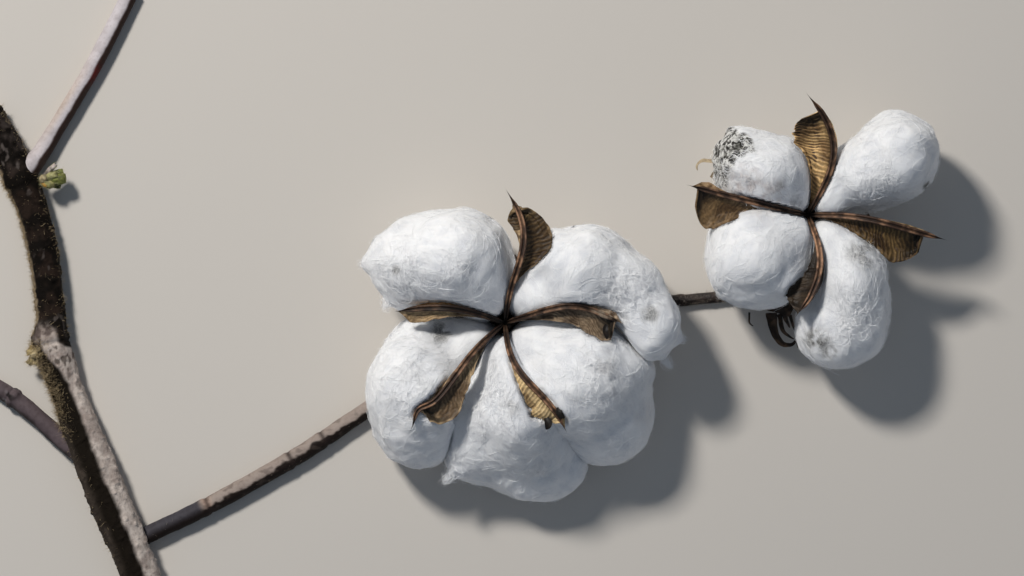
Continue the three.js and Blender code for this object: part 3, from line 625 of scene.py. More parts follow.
def make_main_stem():
    """A furrowed, warty limb that swells at its joint and near its upper end, with a scar below each
    swelling. A pale strip of mottled bark runs up the right of its lower part, the side that faces the light,
    painted lighter as sunlit; the rest is painted dark as in shade, with hairs, and with a band of painted
    backlight down the left edge of its lower part."""
    line, radii = stem_line(MAIN_STEM, 460)

    def relief(points, share, angle):
        """The joint and a lesser swelling, less two scars, plus furrows along the stem and warts."""
        joint = swelling(share, JOINT_AT, 0.013, 0.5) + swelling(share, 0.855, 0.018, 0.45)
        scar = -swelling(share, 0.52, 0.004, 0.4) - swelling(share, 0.838, 0.005, 0.25)
        furrow = 0.3 * rough(points * [1, 0.4, 1], 2.4, 3, 1)
        warts = 0.35 * smoothstep(0.4, 0.8, noise(points, 1.4, 2))
        warts = warts + 0.2 * smoothstep(0.5, 0.8, noise(points, 0.9, 5))
        return joint + scar + furrow + warts + 0.25 * rough(points, 9.0, 2, 3) - 0.2

    limb = limb_skin(line, radii, 80, relief)
    (points, _), out, share, _ = limb
    lower = 1 - smoothstep(JOINT_AT - 0.01, JOINT_AT + 0.02, share + 0.02 * rough(points, 2.4, 3, 1))
    across = out @ STEM_RIGHT + 0.09 * rough(points, 3.0, 3, 4)
    near_edge = 0.33 - 0.75 * smoothstep(JOINT_AT - 0.1, JOINT_AT - 0.01, share)
    far_edge = 1.5 - 1.1 * smoothstep(JOINT_AT - 0.06, JOINT_AT, share)
    # Painted sunlight: pale mottled bark on the side of the lower part that faces the light, painted lighter
    # as lit.
    strip = smoothstep(-0.13, 0.13, across - near_edge) * smoothstep(-0.1, 0.1, far_edge - across) * lower
    haze = smoothstep(-0.2, 0.7, rough(points, 3.2, 3, 2))
    # Painted backlight: a lighter band down the left edge of the lower part, where its hairs catch light from
    # behind.
    painted_backlight_edge = smoothstep(-0.35, -0.85, across)
    speckled = swelling(share, 0.505, 0.05)
    flecks = noise(points * [1, 0.6, 1], 0.85, 3)
    flecks = smoothstep(0.3 - 0.25 * speckled, 0.6 - 0.25 * speckled, flecks) * strip
    left_rim = -out @ np.array([0.97, 0.2, 0.0]) + 0.1 * noise(points, 1.6, 5)
    lenticels = smoothstep(0.5, 0.72, noise(points * [1, 0.7, 1], 1.25, 2)) * (1 - lower)
    lenticels = lenticels * smoothstep(-0.3, 0.3, noise(points, 7.0, 4))
    cap_across = 1 - np.abs(across + 0.1 + 0.35 * noise(points, 1.8, 3))
    cap = swelling(share, JOINT_AT + 0.006, 0.015) * smoothstep(0.3, 0.65, cap_across)
    # Painted shade: the nearly black base, darkest above the joint, stands for the stem's shaded upper part
    # and the shaded left of its lower part.
    colour = layered(
        [0.005, 0.0032, 0.002],
        ([0.009, 0.006, 0.0033], lower),
        ([0.028, 0.017, 0.012], haze * (1 - lower) * 0.7),
        ([0.05, 0.04, 0.036], haze * smoothstep(0.84, 0.92, share) * 0.8),
        ([0.085, 0.066, 0.052], (0.45 + 0.55 * haze) * lower * smoothstep(0.42, 0.3, share) * painted_backlight_edge),
        (two_tone([0.63, 0.55, 0.49], [0.43, 0.36, 0.32], points, 2.6, -0.3, 0.6, 1), strip),
        ([0.06, 0.042, 0.033], flecks * (0.3 + 0.6 * speckled)),
        ([0.36, 0.28, 0.18], smoothstep(0.72, 0.95, left_rim) * (1 - lower) * 0.8),
        ([0.12, 0.10, 0.09], lenticels * 0.7),
        (two_tone([0.12, 0.09, 0.08], [0.42, 0.35, 0.31], points, 1.3, -0.3, 0.3, 5), cap * 0.85))
    make_limb("main_stem", STEM_BARK, limb, colour)

    rng = np.random.default_rng(11)
    by_cut = 400  # points on and beside each cut end, which get no hairs
    pick = rng.integers(by_cut, len(points) - by_cut, 60000)
    side = out[pick] @ STEM_RIGHT
    is_lower = share[pick] < JOINT_AT
    on_lower = smoothstep(0.1, -0.6, side) * (0.02 + 0.98 * smoothstep(0.3, 0.44, share[pick]))
    on_upper = 0.8 * smoothstep(-0.75, -0.95, side) + 0.12 * smoothstep(0.7, 0.95, side) + 0.03
    chance = np.where(is_lower, on_lower, on_upper)
    pick = pick[(rng.random(len(pick)) < chance) & (out[pick, 2] > -0.4)][:7000]
    direction = unit(out[pick] + 0.6 * rng.normal(size=(len(pick), 3)))
    lengths = rng.uniform(0.5, 1.9, len(pick)) * np.where(share[pick] < JOINT_AT, 1.0, 0.7)
    tint = blend_colours([0.09, 0.058, 0.03], [0.56, 0.43, 0.25], rng.random(len(pick)))
    grow_hairs("main_stem_hairs", points[pick], direction, lengths, 0.5, 0.09, tint, 12)


def make_upper_branch():
    """A smooth limb with a heel. Its line rises where it leaves the stem. It is pale, with painted shade
    along its right side, the side turned from the light, and a red spot on that edge; its foot by the stem is
    painted grey as in shade."""
    line, radii = stem_line(UPPER_BRANCH, 260)
    line[:, 2] += swelling(np.linspace(0, 1, len(line)), 0.08, 0.045, 2.0)

    def relief(points, share, angle):
        """A thickened heel at the first end, most of it on one side, plus a fine grain."""
        heel = swelling(share, 0.0, 0.09, 0.9) * (1 - 0.9 * np.sin(angle))
        return heel + 0.06 * rough(points, 2.6, 3, 1) + 0.1 * rough(points, 8.0, 2, 2)

    limb = limb_skin(line, radii, 52, relief)
    (points, _), out, share, _ = limb
    across = out @ np.array([0.85, -0.5, 0.0]) + 0.1 * rough(points, 4.0, 3, 3)
    warmth = swelling(share, 0.4, 0.2) * smoothstep(0.2, -0.7, across)
    pale = blend_colours([0.62, 0.57, 0.585], [0.58, 0.485, 0.43], warmth)
    pale = pale * (0.92 + 0.08 * smoothstep(-0.4, 0.5, rough(points, 2.2, 3, 1)))[:, None]
    red = swelling(np.linalg.norm(points[:, :2] - RED_SPOT, axis=1), 0, 2.6)
    # Painted shade: the dark colour laid along the right side, turned from the light; the red spot is its own
    # colour.
    dark = blend_colours([0.045, 0.025, 0.02], [0.11, 0.014, 0.012], red)
    colour = layered(pale, (dark, smoothstep(0.26, 0.5, across)),
                     # Painted shade: the grey below y 43 mm stands for the shaded foot where the branch
                     # leaves the stem.
                     ([0.13, 0.105, 0.10], 1 - smoothstep(40.6, 43.2, points[:, 1])))
    make_limb("upper_branch", TWIG_BARK, limb, colour)


def make_left_branch():
    """A smooth dark limb, lighter on its lit side, with a bumpy scarred ring three quarters along."""
    line, radii = stem_line(LEFT_BRANCH, 200)

    def relief(points, share, angle):
        """A swollen ring, less the notch beside it, plus bumps about the ring and a fine grain."""
        bumps = 0.9 * smoothstep(0.3, 0.8, noise(points, 1.7, 2)) * swelling(share, 0.74, 0.05)
        ring = swelling(share, 0.72, 0.03, 0.45) - swelling(share, 0.76, 0.012, 0.25)
        return ring + bumps + 0.1 * rough(points, 2.6, 3, 1) + 0.12 * rough(points, 7.0, 2, 2)

    limb = limb_skin(line, radii, 52, relief)
    (points, _), out, share, _ = limb
    light = smoothstep(-0.3, 0.5, out @ unit(np.array([0.3, 0.6, 0.7])) + 0.35 * rough(points, 3.0, 3, 3))
    ring = swelling(share, 0.75, 0.06)
    colour = layered(
        [0.035, 0.027, 0.027],
        ([0.115, 0.088, 0.094], light),
        ([0.014, 0.011, 0.011], ring * smoothstep(0.0, 0.5, noise(points, 1.4, 1))),
        ([0.19, 0.165, 0.175], ring * smoothstep(0.1, 0.6, noise(points, 1.1, 5)) * 0.7))
    make_limb("left_branch", TWIG_BARK, limb, colour)


def make_fruiting_branch():
    """A thin limb with a swelling and a notch at each leaf ring. Its upper side is painted lit, tan past the
    first ring, and before it painted grey as a cast shadow; below it is painted dark as in shade, and it is
    dark all round and hairy in its far half."""
    def relief(points, share, angle):
        """A swelling and a notch at each leaf ring, plus a grain that is rougher in the far half."""
        rings = sum(swelling(share, at, 0.006, 0.16) - swelling(share, at + 0.006, 0.0028, 0.22)
                    for at in LEAF_RINGS)
        grain = (0.1 + 0.14 * smoothstep(0.5, 0.75, share)) * rough(points * [0.5, 1, 1], 1.6, 3, 1)
        return rings + grain + 0.12 * rough(points, 7.0, 2, 2)

    line, radii = stem_line(FRUITING_BRANCH, 620)
    limb = limb_skin(line, radii, 52, relief)
    (points, _), out, share, _ = limb
    # Painted shadow: before the first leaf ring the lit top is painted grey, as a shadow falls there.
    near = 1 - smoothstep(0.118, 0.13, share)
    far = smoothstep(0.5, 0.62, share)
    patchy = 0.3 * rough(points * [0.6, 1, 1], 2.6, 3, 3) + 0.12 * noise(points, 0.9, 5)
    # Painted light: the side facing up and towards +Y takes the lit tan colour, the rest the dark colour of
    # painted shade.
    lit = out @ np.array([-0.5, 0.86, 0.0]) + 0.25 * out[:, 2] + patchy * (1 - 0.75 * near)
    lit = smoothstep(0.1 - 0.5 * near, 0.32 + 0.4 * near, lit)
    top = layered([0.335, 0.275, 0.24], ([0.06, 0.056, 0.066], near),
                  ([0.60, 0.40, 0.30], swelling(share, 0.133, 0.006, 0.6)), ([0.04, 0.034, 0.032], far))
    specks = smoothstep(0.25, 0.55, noise(points * [0.6, 1, 1], 1.0, 4)) * (1 - near)
    notches = sum(swelling(share, at + 0.006, 0.0035) for at in LEAF_RINGS)
    colour = layered(
        [0.017, 0.011, 0.009],
        ([0.013, 0.009, 0.008], far),
        (top, lit),
        ([0.08, 0.06, 0.05], specks * 0.4),
        ([0.03, 0.02, 0.018], np.clip(notches, 0, 1) * 0.8))
    make_limb("fruiting_branch", TWIG_BARK, limb, colour)

    rng = np.random.default_rng(21)
    by_cut = 300
    pick = rng.integers(by_cut, len(points) - by_cut, 16000)
    chance = 0.03 + 0.8 * smoothstep(0.5, 0.65, share[pick])
    pick = pick[(rng.random(len(pick)) < chance) & (out[pick, 2] > -0.7)]
    direction = unit(out[pick] + 0.5 * rng.normal(size=(len(pick), 3)))
    lengths = rng.uniform(0.3, 0.95, len(pick))
    grow_hairs("fruiting_branch_hairs", points[pick], direction, lengths, 0.4, 0.05,
               [0.34, 0.29, 0.24], 22)


# Buds

def lobe_skin(base, tip, width, thickness, curl, steps=16, around=16):
    """A plump pointed lobe: ellipses along a bent line from base to tip, widest past the middle."""
    base, tip = np.array(base, float), np.array(tip, float)
    t = np.linspace(0, 1, steps)
    direction = unit(tip - base)
    side = unit(np.cross(direction, UP))
    lift = np.cross(side, direction)
    line = base + (tip - base) * t[:, None] + lift * (curl * np.sin(np.pi * t))[:, None]
    swell = np.sqrt(np.clip(1 - (np.abs(t - 0.58) / 0.58) ** 2.2, 0.004, 1))
    angle = np.linspace(0, 2 * np.pi, around, endpoint=False)
    rings = (line[:, None]
             + side * (np.cos(angle) * width / 2 * swell[:, None])[..., None]
             + lift * (np.sin(angle) * thickness / 2 * swell[:, None])[..., None])
    return outward(*closed_skin(rings + 0.25 * noise_vectors(rings, 1.5), line[0], line[-1]))


# Lobes of each bud: tip of the lobe, width, thickness and colour.
UPPER_BUD_LOBES = [
    [[-125.0, 41.0, 6.6], 3.6, 3.0, [0.22, 0.235, 0.06]], [[-127.8, 45.0, 7.4], 1.5, 1.4, [0.50, 0.43, 0.39]],
    [[-128.0, 39.2, 7.2], 2.8, 2.4, [0.36, 0.34, 0.13]], [[-130.4, 41.4, 8.6], 2.2, 1.9, [0.58, 0.48, 0.28]],
    [[-125.8, 43.0, 6.0], 2.4, 1.9, [0.27, 0.29, 0.09]], [[-129.8, 38.8, 7.6], 1.7, 1.6, [0.42, 0.24, 0.05]],
    [[-126.4, 39.0, 5.0], 2.4, 2.1, [0.15, 0.17, 0.04]], [[-127.4, 42.2, 8.6], 2.0, 1.7, [0.40, 0.38, 0.17]],
]
LOWER_BUD_LOBES = [
    [[-136.0, -8.6, 6.6], 2.0, 1.6, [0.36, 0.28, 0.13]], [[-135.8, -11.8, 5.6], 2.2, 1.7, [0.40, 0.32, 0.16]],
    [[-133.6, -12.0, 7.4], 2.0, 1.6, [0.42, 0.33, 0.17]], [[-134.2, -9.6, 9.0], 2.2, 1.8, [0.46, 0.38, 0.22]],
    [[-132.2, -10.0, 10.2], 1.8, 1.5, [0.34, 0.25, 0.11]],
    [[-135.4, -7.0, 6.0], 1.8, 1.4, [0.30, 0.22, 0.10]],
    [[-132.4, -7.4, 10.4], 1.7, 1.4, [0.36, 0.28, 0.15]],
]


def make_bud(node, base, lobes, hair_tint, hair_count, seed):
    """A bud: plump lobes from one base, each in its colour, with fine hairs over them."""
    skins = [lobe_skin(base, tip, width, thickness, 0.4) for tip, width, thickness, _ in lobes]
    points, faces = joined(skins)
    colour = np.vstack([np.tile(lobe[3], (len(skin[0]), 1)) for lobe, skin in zip(lobes, skins)])
    colour = colour * (0.4 + 0.8 * smoothstep(-0.5, 0.5, rough(points, 0.9, 3, 2)))[:, None]
    make_piece(f"{node}_lobes", points, faces, BURR, colour, [node])
    rng = np.random.default_rng(seed)
    roots = points[rng.integers(0, len(points), hair_count)]
    direction = unit(roots - np.array(base) + rng.normal(size=roots.shape) * 1.2 + [0, 0, 0.8])
    lengths = rng.uniform(0.4, 1.2, len(roots))
    grow_hairs(f"{node}_lobes_hairs", roots, direction, lengths, 0.6, 0.08, hair_tint, seed + 1)


# Burr

def ridge_line(boll, valve, s):
    """The valve's ridge at shares s of its reach: a straight chord along its heading, bent to its left by
    bow times sin(pi s) and sway times sin(2 pi s), rising as a quarter sine to its crest, with its horn
    hooked sideways at the tip."""
    heading, reach, bow, sway = valve["path"]
    root, crest, tip = valve["heights"]
    heading = math.radians(heading)
    bend = bow * np.sin(np.pi * s) + sway * np.sin(2 * np.pi * s)
    bend = bend + valve["horn"] * smoothstep(0.82, 1.05, s) * 1.4
    bend = bend + swelling(s, 0.87, 0.09, valve.get("kink", 0.0))
    rise = np.sin(np.pi / 2 * np.minimum(1, s / CREST_AT))
    past = smoothstep(CREST_AT, 1, s)
    return np.stack([
        boll["centre"][0] + math.cos(heading) * s * reach - math.sin(heading) * bend,
        boll["centre"][1] + math.sin(heading) * s * reach + math.cos(heading) * bend,
        root + (crest - root) * rise + (tip - crest) * past], axis=-1)


def ridge_frame(boll, valve, s):
    """The ridge line, and its unit directions ahead and to the left at each point."""
    ridge = ridge_line(boll, valve, s)
    ahead = unit(np.gradient(ridge, axis=0))
    return ridge, ahead, unit(np.cross(UP, ahead))


def wall_share(s, start, widest, end, cut):
    """How wide a wall is along the ridge: from its start it opens as a power to its widest, then closes as
    far as its torn end, which still has the share cut of the width."""
    opening = np.clip((s - start) / (widest - start), 0, 1) ** 1.25
    closing = 1 - (1 - cut) * np.clip((s - widest) / (end - widest), 0, 1) ** 2.6
    return np.where(s < widest, opening, closing) * (1 - smoothstep(end, end + 0.025, s))


def lean_of(valve, s):
    """How far ahead a wall's points lean for each millimetre out: from none at its root to all past it."""
    return valve.get("lean", 0.0) * smoothstep(0.3, 0.8, s)


def ridge_half(s):
    """Half the ridge's width: fullest half way along, and drawn in at the tip."""
    return 0.96 * (0.74 + 0.26 * np.sin(np.pi * s)) * (1 - 0.62 * smoothstep(0.84, 1.0, s))


def septum_depth(s):
    """How far the wall between two locks hangs down from the ridge: deepest at the root."""
    return SEPTUM_DEPTH * (0.28 + 0.72 * (1 - s) ** 1.5)


def wall_place(valve, side, ridge, s, out):
    """Across and height of a wall from its ridge, at shares s along and out across: a straight slope that
    sags or bulges by a half sine and curls up a little at its rim. Noise makes its rim and end ragged."""
    width, drop, widest, end, _, sag, start, cut = valve[side]
    drop = math.radians(drop)
    shifted = ridge + (31.0 if side == "left" else 57.0)
    ragged = 0.035 * noise(shifted, 0.9, 1) + 0.10 * noise(shifted, 2.2, 2)
    ragged = (ragged - 0.14 * smoothstep(0.35, 0.8, noise(shifted, 1.6, 3))) * min(1, 5 / width)
    late = s + 0.016 * math.sin(9 * out + valve["path"][0]) + 0.012 * math.sin(25 * out)
    span = width / math.cos(drop) * wall_share(late, start, widest, end, cut) * (1 + ragged) + 0.15
    bend = -sag * span * np.sin(np.pi * out) + 0.1 * span * out**4
    across = math.cos(drop) * span * out + math.sin(drop) * bend + 0.3 * ridge_half(s)
    height = math.cos(drop) * bend - math.sin(drop) * span * out - 0.3 * septum_depth(s) - 0.45
    return across, height


WALL_SHARES = np.linspace(0.06, 0.985, 24)
LIP_POINTS = 6
VEIN_LEVEL = 0.7


def flake_skin(x, y, z, heading, length, width):
    """A curled scrap: a cupped strap that bows up along its length by a half sine and weaves sideways."""
    t = np.linspace(0, 1, 26)
    ahead, left = toward(heading), toward(heading + 90)
    bow = 0.16 * np.sin(np.pi * t)
    line = np.array([x, y, z]) + (ahead * t[:, None] + UP * bow[:, None]) * length
    line = line + left * (0.3 * np.sin(5 * t + x))[:, None]
    return strap_skin(line, width * np.sin(np.pi * (0.12 + 0.86 * t)) ** 0.7 + 0.1, 0.3, UP, 0.22, 24)


def side_loop(valve, side, ridge, s):
    """One side of the valve's cross-section at each share s, as (across, height) points: over a lip of the
    ridge, out along the upper face of the wall, round its rim, back under it, and down the septum."""
    half = ridge_half(s) * smoothstep(-0.02, 0.1, s + 0.03)
    zero = np.zeros_like(s)

    def wall(out, offset):
        """Place of the wall at a share of its way out from the ridge, raised by the offset."""
        across, height = wall_place(valve, side, ridge, s, out)
        return across, height + offset

    lip = [(0.2 * half, zero - 0.34), (0.5 * half, zero + 0.04), (0.82 * half, zero - 0.02),
           (half, zero - 0.36), (0.84 * half, zero - 0.8), (0.5 * half, wall(0.0, 0.0)[1] + 0.3)]
    upper = [wall(out, 0.2) for out in WALL_SHARES]
    lower = [wall(out, -0.2) for out in (0.99, 0.75, 0.5, 0.25, 0.05)]
    loop = lip + upper + [wall(1.0, 0.0)] + lower + [(0.3 * half, -0.75 * septum_depth(s) - 0.4)]
    return np.stack([np.stack(point, axis=-1) for point in loop], axis=1)


def valve_veins(valve, number, s, over, rings):
    """Ribs across a wall, over from its ridge: a wandering wave that runs at the veins' slant, part mixed
    with noise drawn out along them. Also streaks of finer noise that run the same way."""
    slant, _, wander = valve["veins"]
    slant = math.radians(slant)
    travel = (s * valve["path"][1])[:, None]
    phase = travel * math.cos(slant) - over * math.sin(slant)
    along = travel * math.sin(slant) + over * math.cos(slant)
    grain = np.stack([phase / 0.9, along / 5.0, phase * 0 + number], axis=-1)
    wave = phase / 1.05 + wander * (noise(rings, 3.4, 3) + 0.45 * noise(rings, 1.3, 4))
    rib = (1 - np.abs(np.sin(np.pi * wave))) * 0.62 + 0.38 * (0.5 + 0.5 * noise(grain, 1.0, 1))
    return rib, 0.5 + 0.5 * rough(grain * [2.2, 1, 1], 1.0, 3, 2)


def valve_colour(valve, s, rings, section, parts, rib, streak, spread):
    """Lining on the upper face, darker between its veins, with painted shade towards the ridge and by its
    torn end, and a pale rim; rind below; a copper ridge with painted highlights on its lips and painted shade
    in its groove and down its sides, and painted shade at the root where the valves meet. spread is the
    wall's width, parts as in make_valve."""
    is_upper, is_lower, out = parts
    patch = smoothstep(-0.4, 0.5, rough(rings, 4.5, 3, 2))
    lining = np.array(valve["lining"])
    wall = blend_colours(lining * [0.42, 0.38, 0.36], lining * 1.15, patch)
    between = np.clip(1.15 - valve["veins"][1] * 0.85 * (1 - rib), 0.12, 1.2)
    wall = wall * between[..., None] * (0.6 + 0.6 * streak)[..., None]
    # Painted shade where the wall meets the ridge.
    wall = wall * (0.3 + 0.7 * smoothstep(0.0, 0.25, out))[None, :, None]
    rim = smoothstep(0.9, 0.97, out)
    wall = blend_colours(wall, lining * 1.5 + 0.04, 0.55 * rim * smoothstep(-0.3, 0.4, noise(rings, 1.5, 1)))
    ends = max(valve[side][3] * (valve[side][0] > 3) for side in ("left", "right"))
    # Painted shade at the torn end of a wide wall, where it curls over the cotton.
    torn_end_shade = smoothstep(ends - 0.14, ends - 0.02, s)[:, None] * smoothstep(-0.3, 0.3, noise(rings, 2.5, 4))
    torn_end_shade = np.maximum(torn_end_shade, smoothstep(ends - 0.06, ends - 0.01, s)[:, None] * (spread > 3))
    wall = wall * (1 - 0.88 * torn_end_shade * (1 - rim) * (spread > 2.6))[..., None]
    torn = smoothstep(0.5, 0.65, s)[:, None] * (spread < 2.6) * smoothstep(0.1, 0.5, out)
    wall = blend_colours(wall, lining * 1.5 + 0.05, torn * smoothstep(-0.5, 0.3, noise(rings, 1.2, 2)))
    copper = smoothstep(-0.25, 0.55, noise(rings, 2.4, 1) + 0.4 * noise(rings, 0.9, 2))
    ridge = blend_colours([0.026, 0.0142, 0.009], [0.125, 0.070, 0.041], copper) * valve["ridge"]
    # Painted light: the lips' upper faces are painted brighter as lit; the groove and sides are painted
    # darker as in shade.
    lit_lip = smoothstep(-0.25, 0.02, section[..., 1]) * smoothstep(0.15, 0.4, np.abs(section[..., 0]))
    ridge = ridge * (0.45 + 1.0 * lit_lip)[..., None]
    if "worn" in valve:
        worn = smoothstep(valve["worn"], valve["worn"] + 0.1, s)[:, None]
        worn = worn * smoothstep(-0.45, 0.2, noise(rings, 1.3, 4))
        ridge = blend_colours(ridge, [0.30, 0.235, 0.175], worn)
    rind = blend_colours([0.045, 0.026, 0.016], [0.11, 0.07, 0.042], patch)
    colour = layered(ridge, (wall, is_upper), (rind, is_lower))
    # Painted shade at the root, where the valves meet in the boll's middle.
    colour = colour * (0.16 + 0.84 * smoothstep(0.01, 0.19, s))[:, None, None]
    return colour * (1 - 0.5 * smoothstep(0.9, 1.0, s))[:, None, None]


def stand_in(kind, boll, number, points, faces, material, colour):
    """The piece that stands for one of a boll's solids of one kind."""
    make_piece(f"{kind}_{boll['number']}_{number}", points, faces, material, colour,
               [f"boll_{boll['number']}_{kind}_{number}"])


def make_valve(boll, number, valve):
    """One valve as a closed skin: its cross-sections, a groove between two side loops that meet under the
    septum, carried along its ridge and leaned ahead. The walls' upper faces rise with the veins."""
    s = np.linspace(0.5 / valve["path"][1], 1, 190)
    ridge, ahead, left = ridge_frame(boll, valve, s)
    zero = np.zeros_like(s)
    groove = np.stack([zero, zero - 0.5], axis=-1)[:, None]
    under = np.stack([zero, -septum_depth(s) - 0.6], axis=-1)[:, None]
    left_side = side_loop(valve, "left", ridge, s)
    right_side = side_loop(valve, "right", ridge, s)[:, ::-1] * [-1, 1]
    taper = np.clip((1 - s) * 10 + 0.12, 0, 1)[:, None, None]
    section = np.concatenate([groove, left_side, under, right_side], axis=1) * taper

    # Of each point round the loop: whether it is on an upper or lower face, and its share out on the upper
    count = left_side.shape[1]
    rim_at = LIP_POINTS + len(WALL_SHARES)
    parts = np.zeros((3, count))
    parts[0, LIP_POINTS:rim_at + 1] = 1
    parts[1, rim_at + 1:] = 1
    parts[2, LIP_POINTS:rim_at + 1] = [*WALL_SHARES, 1]
    none = np.zeros((3, 1))
    parts = np.concatenate([none, parts, none, parts[:, ::-1]], axis=1)
    is_upper, _, out = parts

    over = np.abs(section[..., 0])
    rings = ridge[:, None] + left[:, None] * section[..., :1] + UP * section[..., 1:]
    rings = rings + ahead[:, None] * (over * lean_of(valve, s)[:, None])[..., None]
    rib, streak = valve_veins(valve, number, s, over, rings)
    widths = np.stack([over[:, 1:1 + count].max(1), over[:, 2 + count:].max(1)], axis=1)
    spread = np.repeat(widths, 1 + count, axis=1)
    rib = VEIN_LEVEL + (rib - VEIN_LEVEL) * smoothstep(1.0, 3.6, spread)
    lift = is_upper * smoothstep(0.02, 0.15, out) * (rib - VEIN_LEVEL) * 0.42 * valve["veins"][1]
    lift = lift * smoothstep(0.12, 0.35, s)[:, None] * taper[..., 0]
    crumple = 0.18 * rough(rings, 2.4, 2, 5) * smoothstep(0.1, 0.6, out)
    rings = rings + UP * (lift + crumple)[..., None] + 0.06 * noise(rings, 1.1, 5)[..., None] * UP
    skin = outward(*closed_skin(rings, ridge[0] - UP * 3.0, ridge[-1] + ahead[-1] * 1.0 + UP * 0.3))
    colour = valve_colour(valve, s, rings, section, parts, rib, streak, spread)
    colour = np.vstack([colour.reshape(-1, 3), [[0.01, 0.006, 0.004], [0.05, 0.03, 0.02]]])
    points, faces = joined([skin, *(flake_skin(*flake) for flake in valve.get("flakes", []))])
    scraps = two_tone([0.011, 0.008, 0.006], [0.025, 0.017, 0.012], points[len(colour):], 0.9, 0.2, 0.8, 2, 1)
    stand_in("valve", boll, number, points, faces, BURR, np.vstack([colour, scraps]))


def make_stalk(boll):
    """The cup and column are one profile turned about the boll's axis; the stem is a bent limb under it."""
    centre = np.array([*boll["centre"], 0.0])
    base = CUP_HEIGHT - CUP_DEPTH
    profile = np.array([
        [0.4, base], [STALK_RADIUS, base], [CUP_RADIUS * 0.72, base + 0.9], [CUP_RADIUS, CUP_HEIGHT - 0.6],
        [CUP_RADIUS, CUP_HEIGHT], [CUP_RADIUS - 0.6, CUP_HEIGHT + 0.1],
        [COLUMN_RADIUS + 0.6, CUP_HEIGHT + 1.6],
        [COLUMN_RADIUS, CUP_HEIGHT + 4], [COLUMN_RADIUS, COLUMN_TOP - 1], [COLUMN_RADIUS * 0.6, COLUMN_TOP],
        [0.3, COLUMN_TOP + 0.25]])
    angle = np.linspace(0, 2 * np.pi, 64, endpoint=False)
    steps = np.linspace(0, len(profile) - 1, 60)
    r = np.interp(steps, np.arange(len(profile)), profile[:, 0])
    z = np.interp(steps, np.arange(len(profile)), profile[:, 1])
    rim = swelling(z, CUP_HEIGHT, 1.2)[:, None] * (0.35 * np.sin(5 * angle) + 0.2 * np.sin(13 * angle))
    out = np.stack([np.cos(angle), np.sin(angle), 0 * angle], axis=-1)
    rings = centre + out[None] * (r[:, None] + 0.5 * rim)[..., None]
    rings = rings + UP * (z[:, None] + 0.7 * rim)[..., None]
    rings = rings + out[None] * (0.12 * noise(rings, 1.4, 1))[..., None]
    head = outward(*closed_skin(rings, centre + UP * base, centre + UP * (COLUMN_TOP + 0.3)))

    foot = np.array([*boll["foot"], 3.2])
    top = centre + UP * (base + 1)
    level = (top - foot) * [1, 1, 0]
    is_bent = np.linalg.norm(level) > 2
    halfway = foot + level * 0.5
    halfway[2] = 4.4
    way = [foot, halfway, centre + UP * (base - 2.6), top] if is_bent else [foot, (foot + top) / 2, top]
    reference = unit(np.array([-level[1], level[0], 0.0])) if is_bent else np.array([1.0, 0.0, 0.0])
    line = smooth_line(way, 90 if is_bent else 24)
    radii = STALK_RADIUS + 0.5 * np.exp(-np.linspace(0, 6, len(line)))
    stem = limb_skin(line, radii, 36, lambda p, share, a: 0.12 * rough(p, 1.8, 3, 2), reference)[0]
    points, faces = joined([head, stem])
    colour = two_tone([0.045, 0.026, 0.018], [0.14, 0.085, 0.055], points, 2.2, -0.2, 0.6, 3)
    column = smoothstep(CUP_HEIGHT + 2, COLUMN_TOP - 3, points[:, 2])
    colour = layered(colour, ([0.008, 0.005, 0.003], column))
    make_piece(f"stalk_{boll['number']}", points, faces, TWIG_BARK, colour,
               [f"boll_{boll['number']}_stalk"])


def strap_skin(line, widths, thickness, reference, cup, around):
    """A thin strap: flat ellipses square to a line, cupped by cup times their width, shut at both ends."""
    first, second = frames_along(line, reference)
    angle = np.linspace(0, 2 * np.pi, around, endpoint=False)
    across = np.cos(angle)[None, :] * widths[:, None] / 2
    height = np.sin(angle)[None, :] * thickness / 2 + cup * np.cos(angle)[None, :] ** 2 * widths[:, None]
    rings = line[:, None] + second[:, None] * across[..., None] + first[:, None] * height[..., None]
    return outward(*closed_skin(rings, line[0], line[-1]))


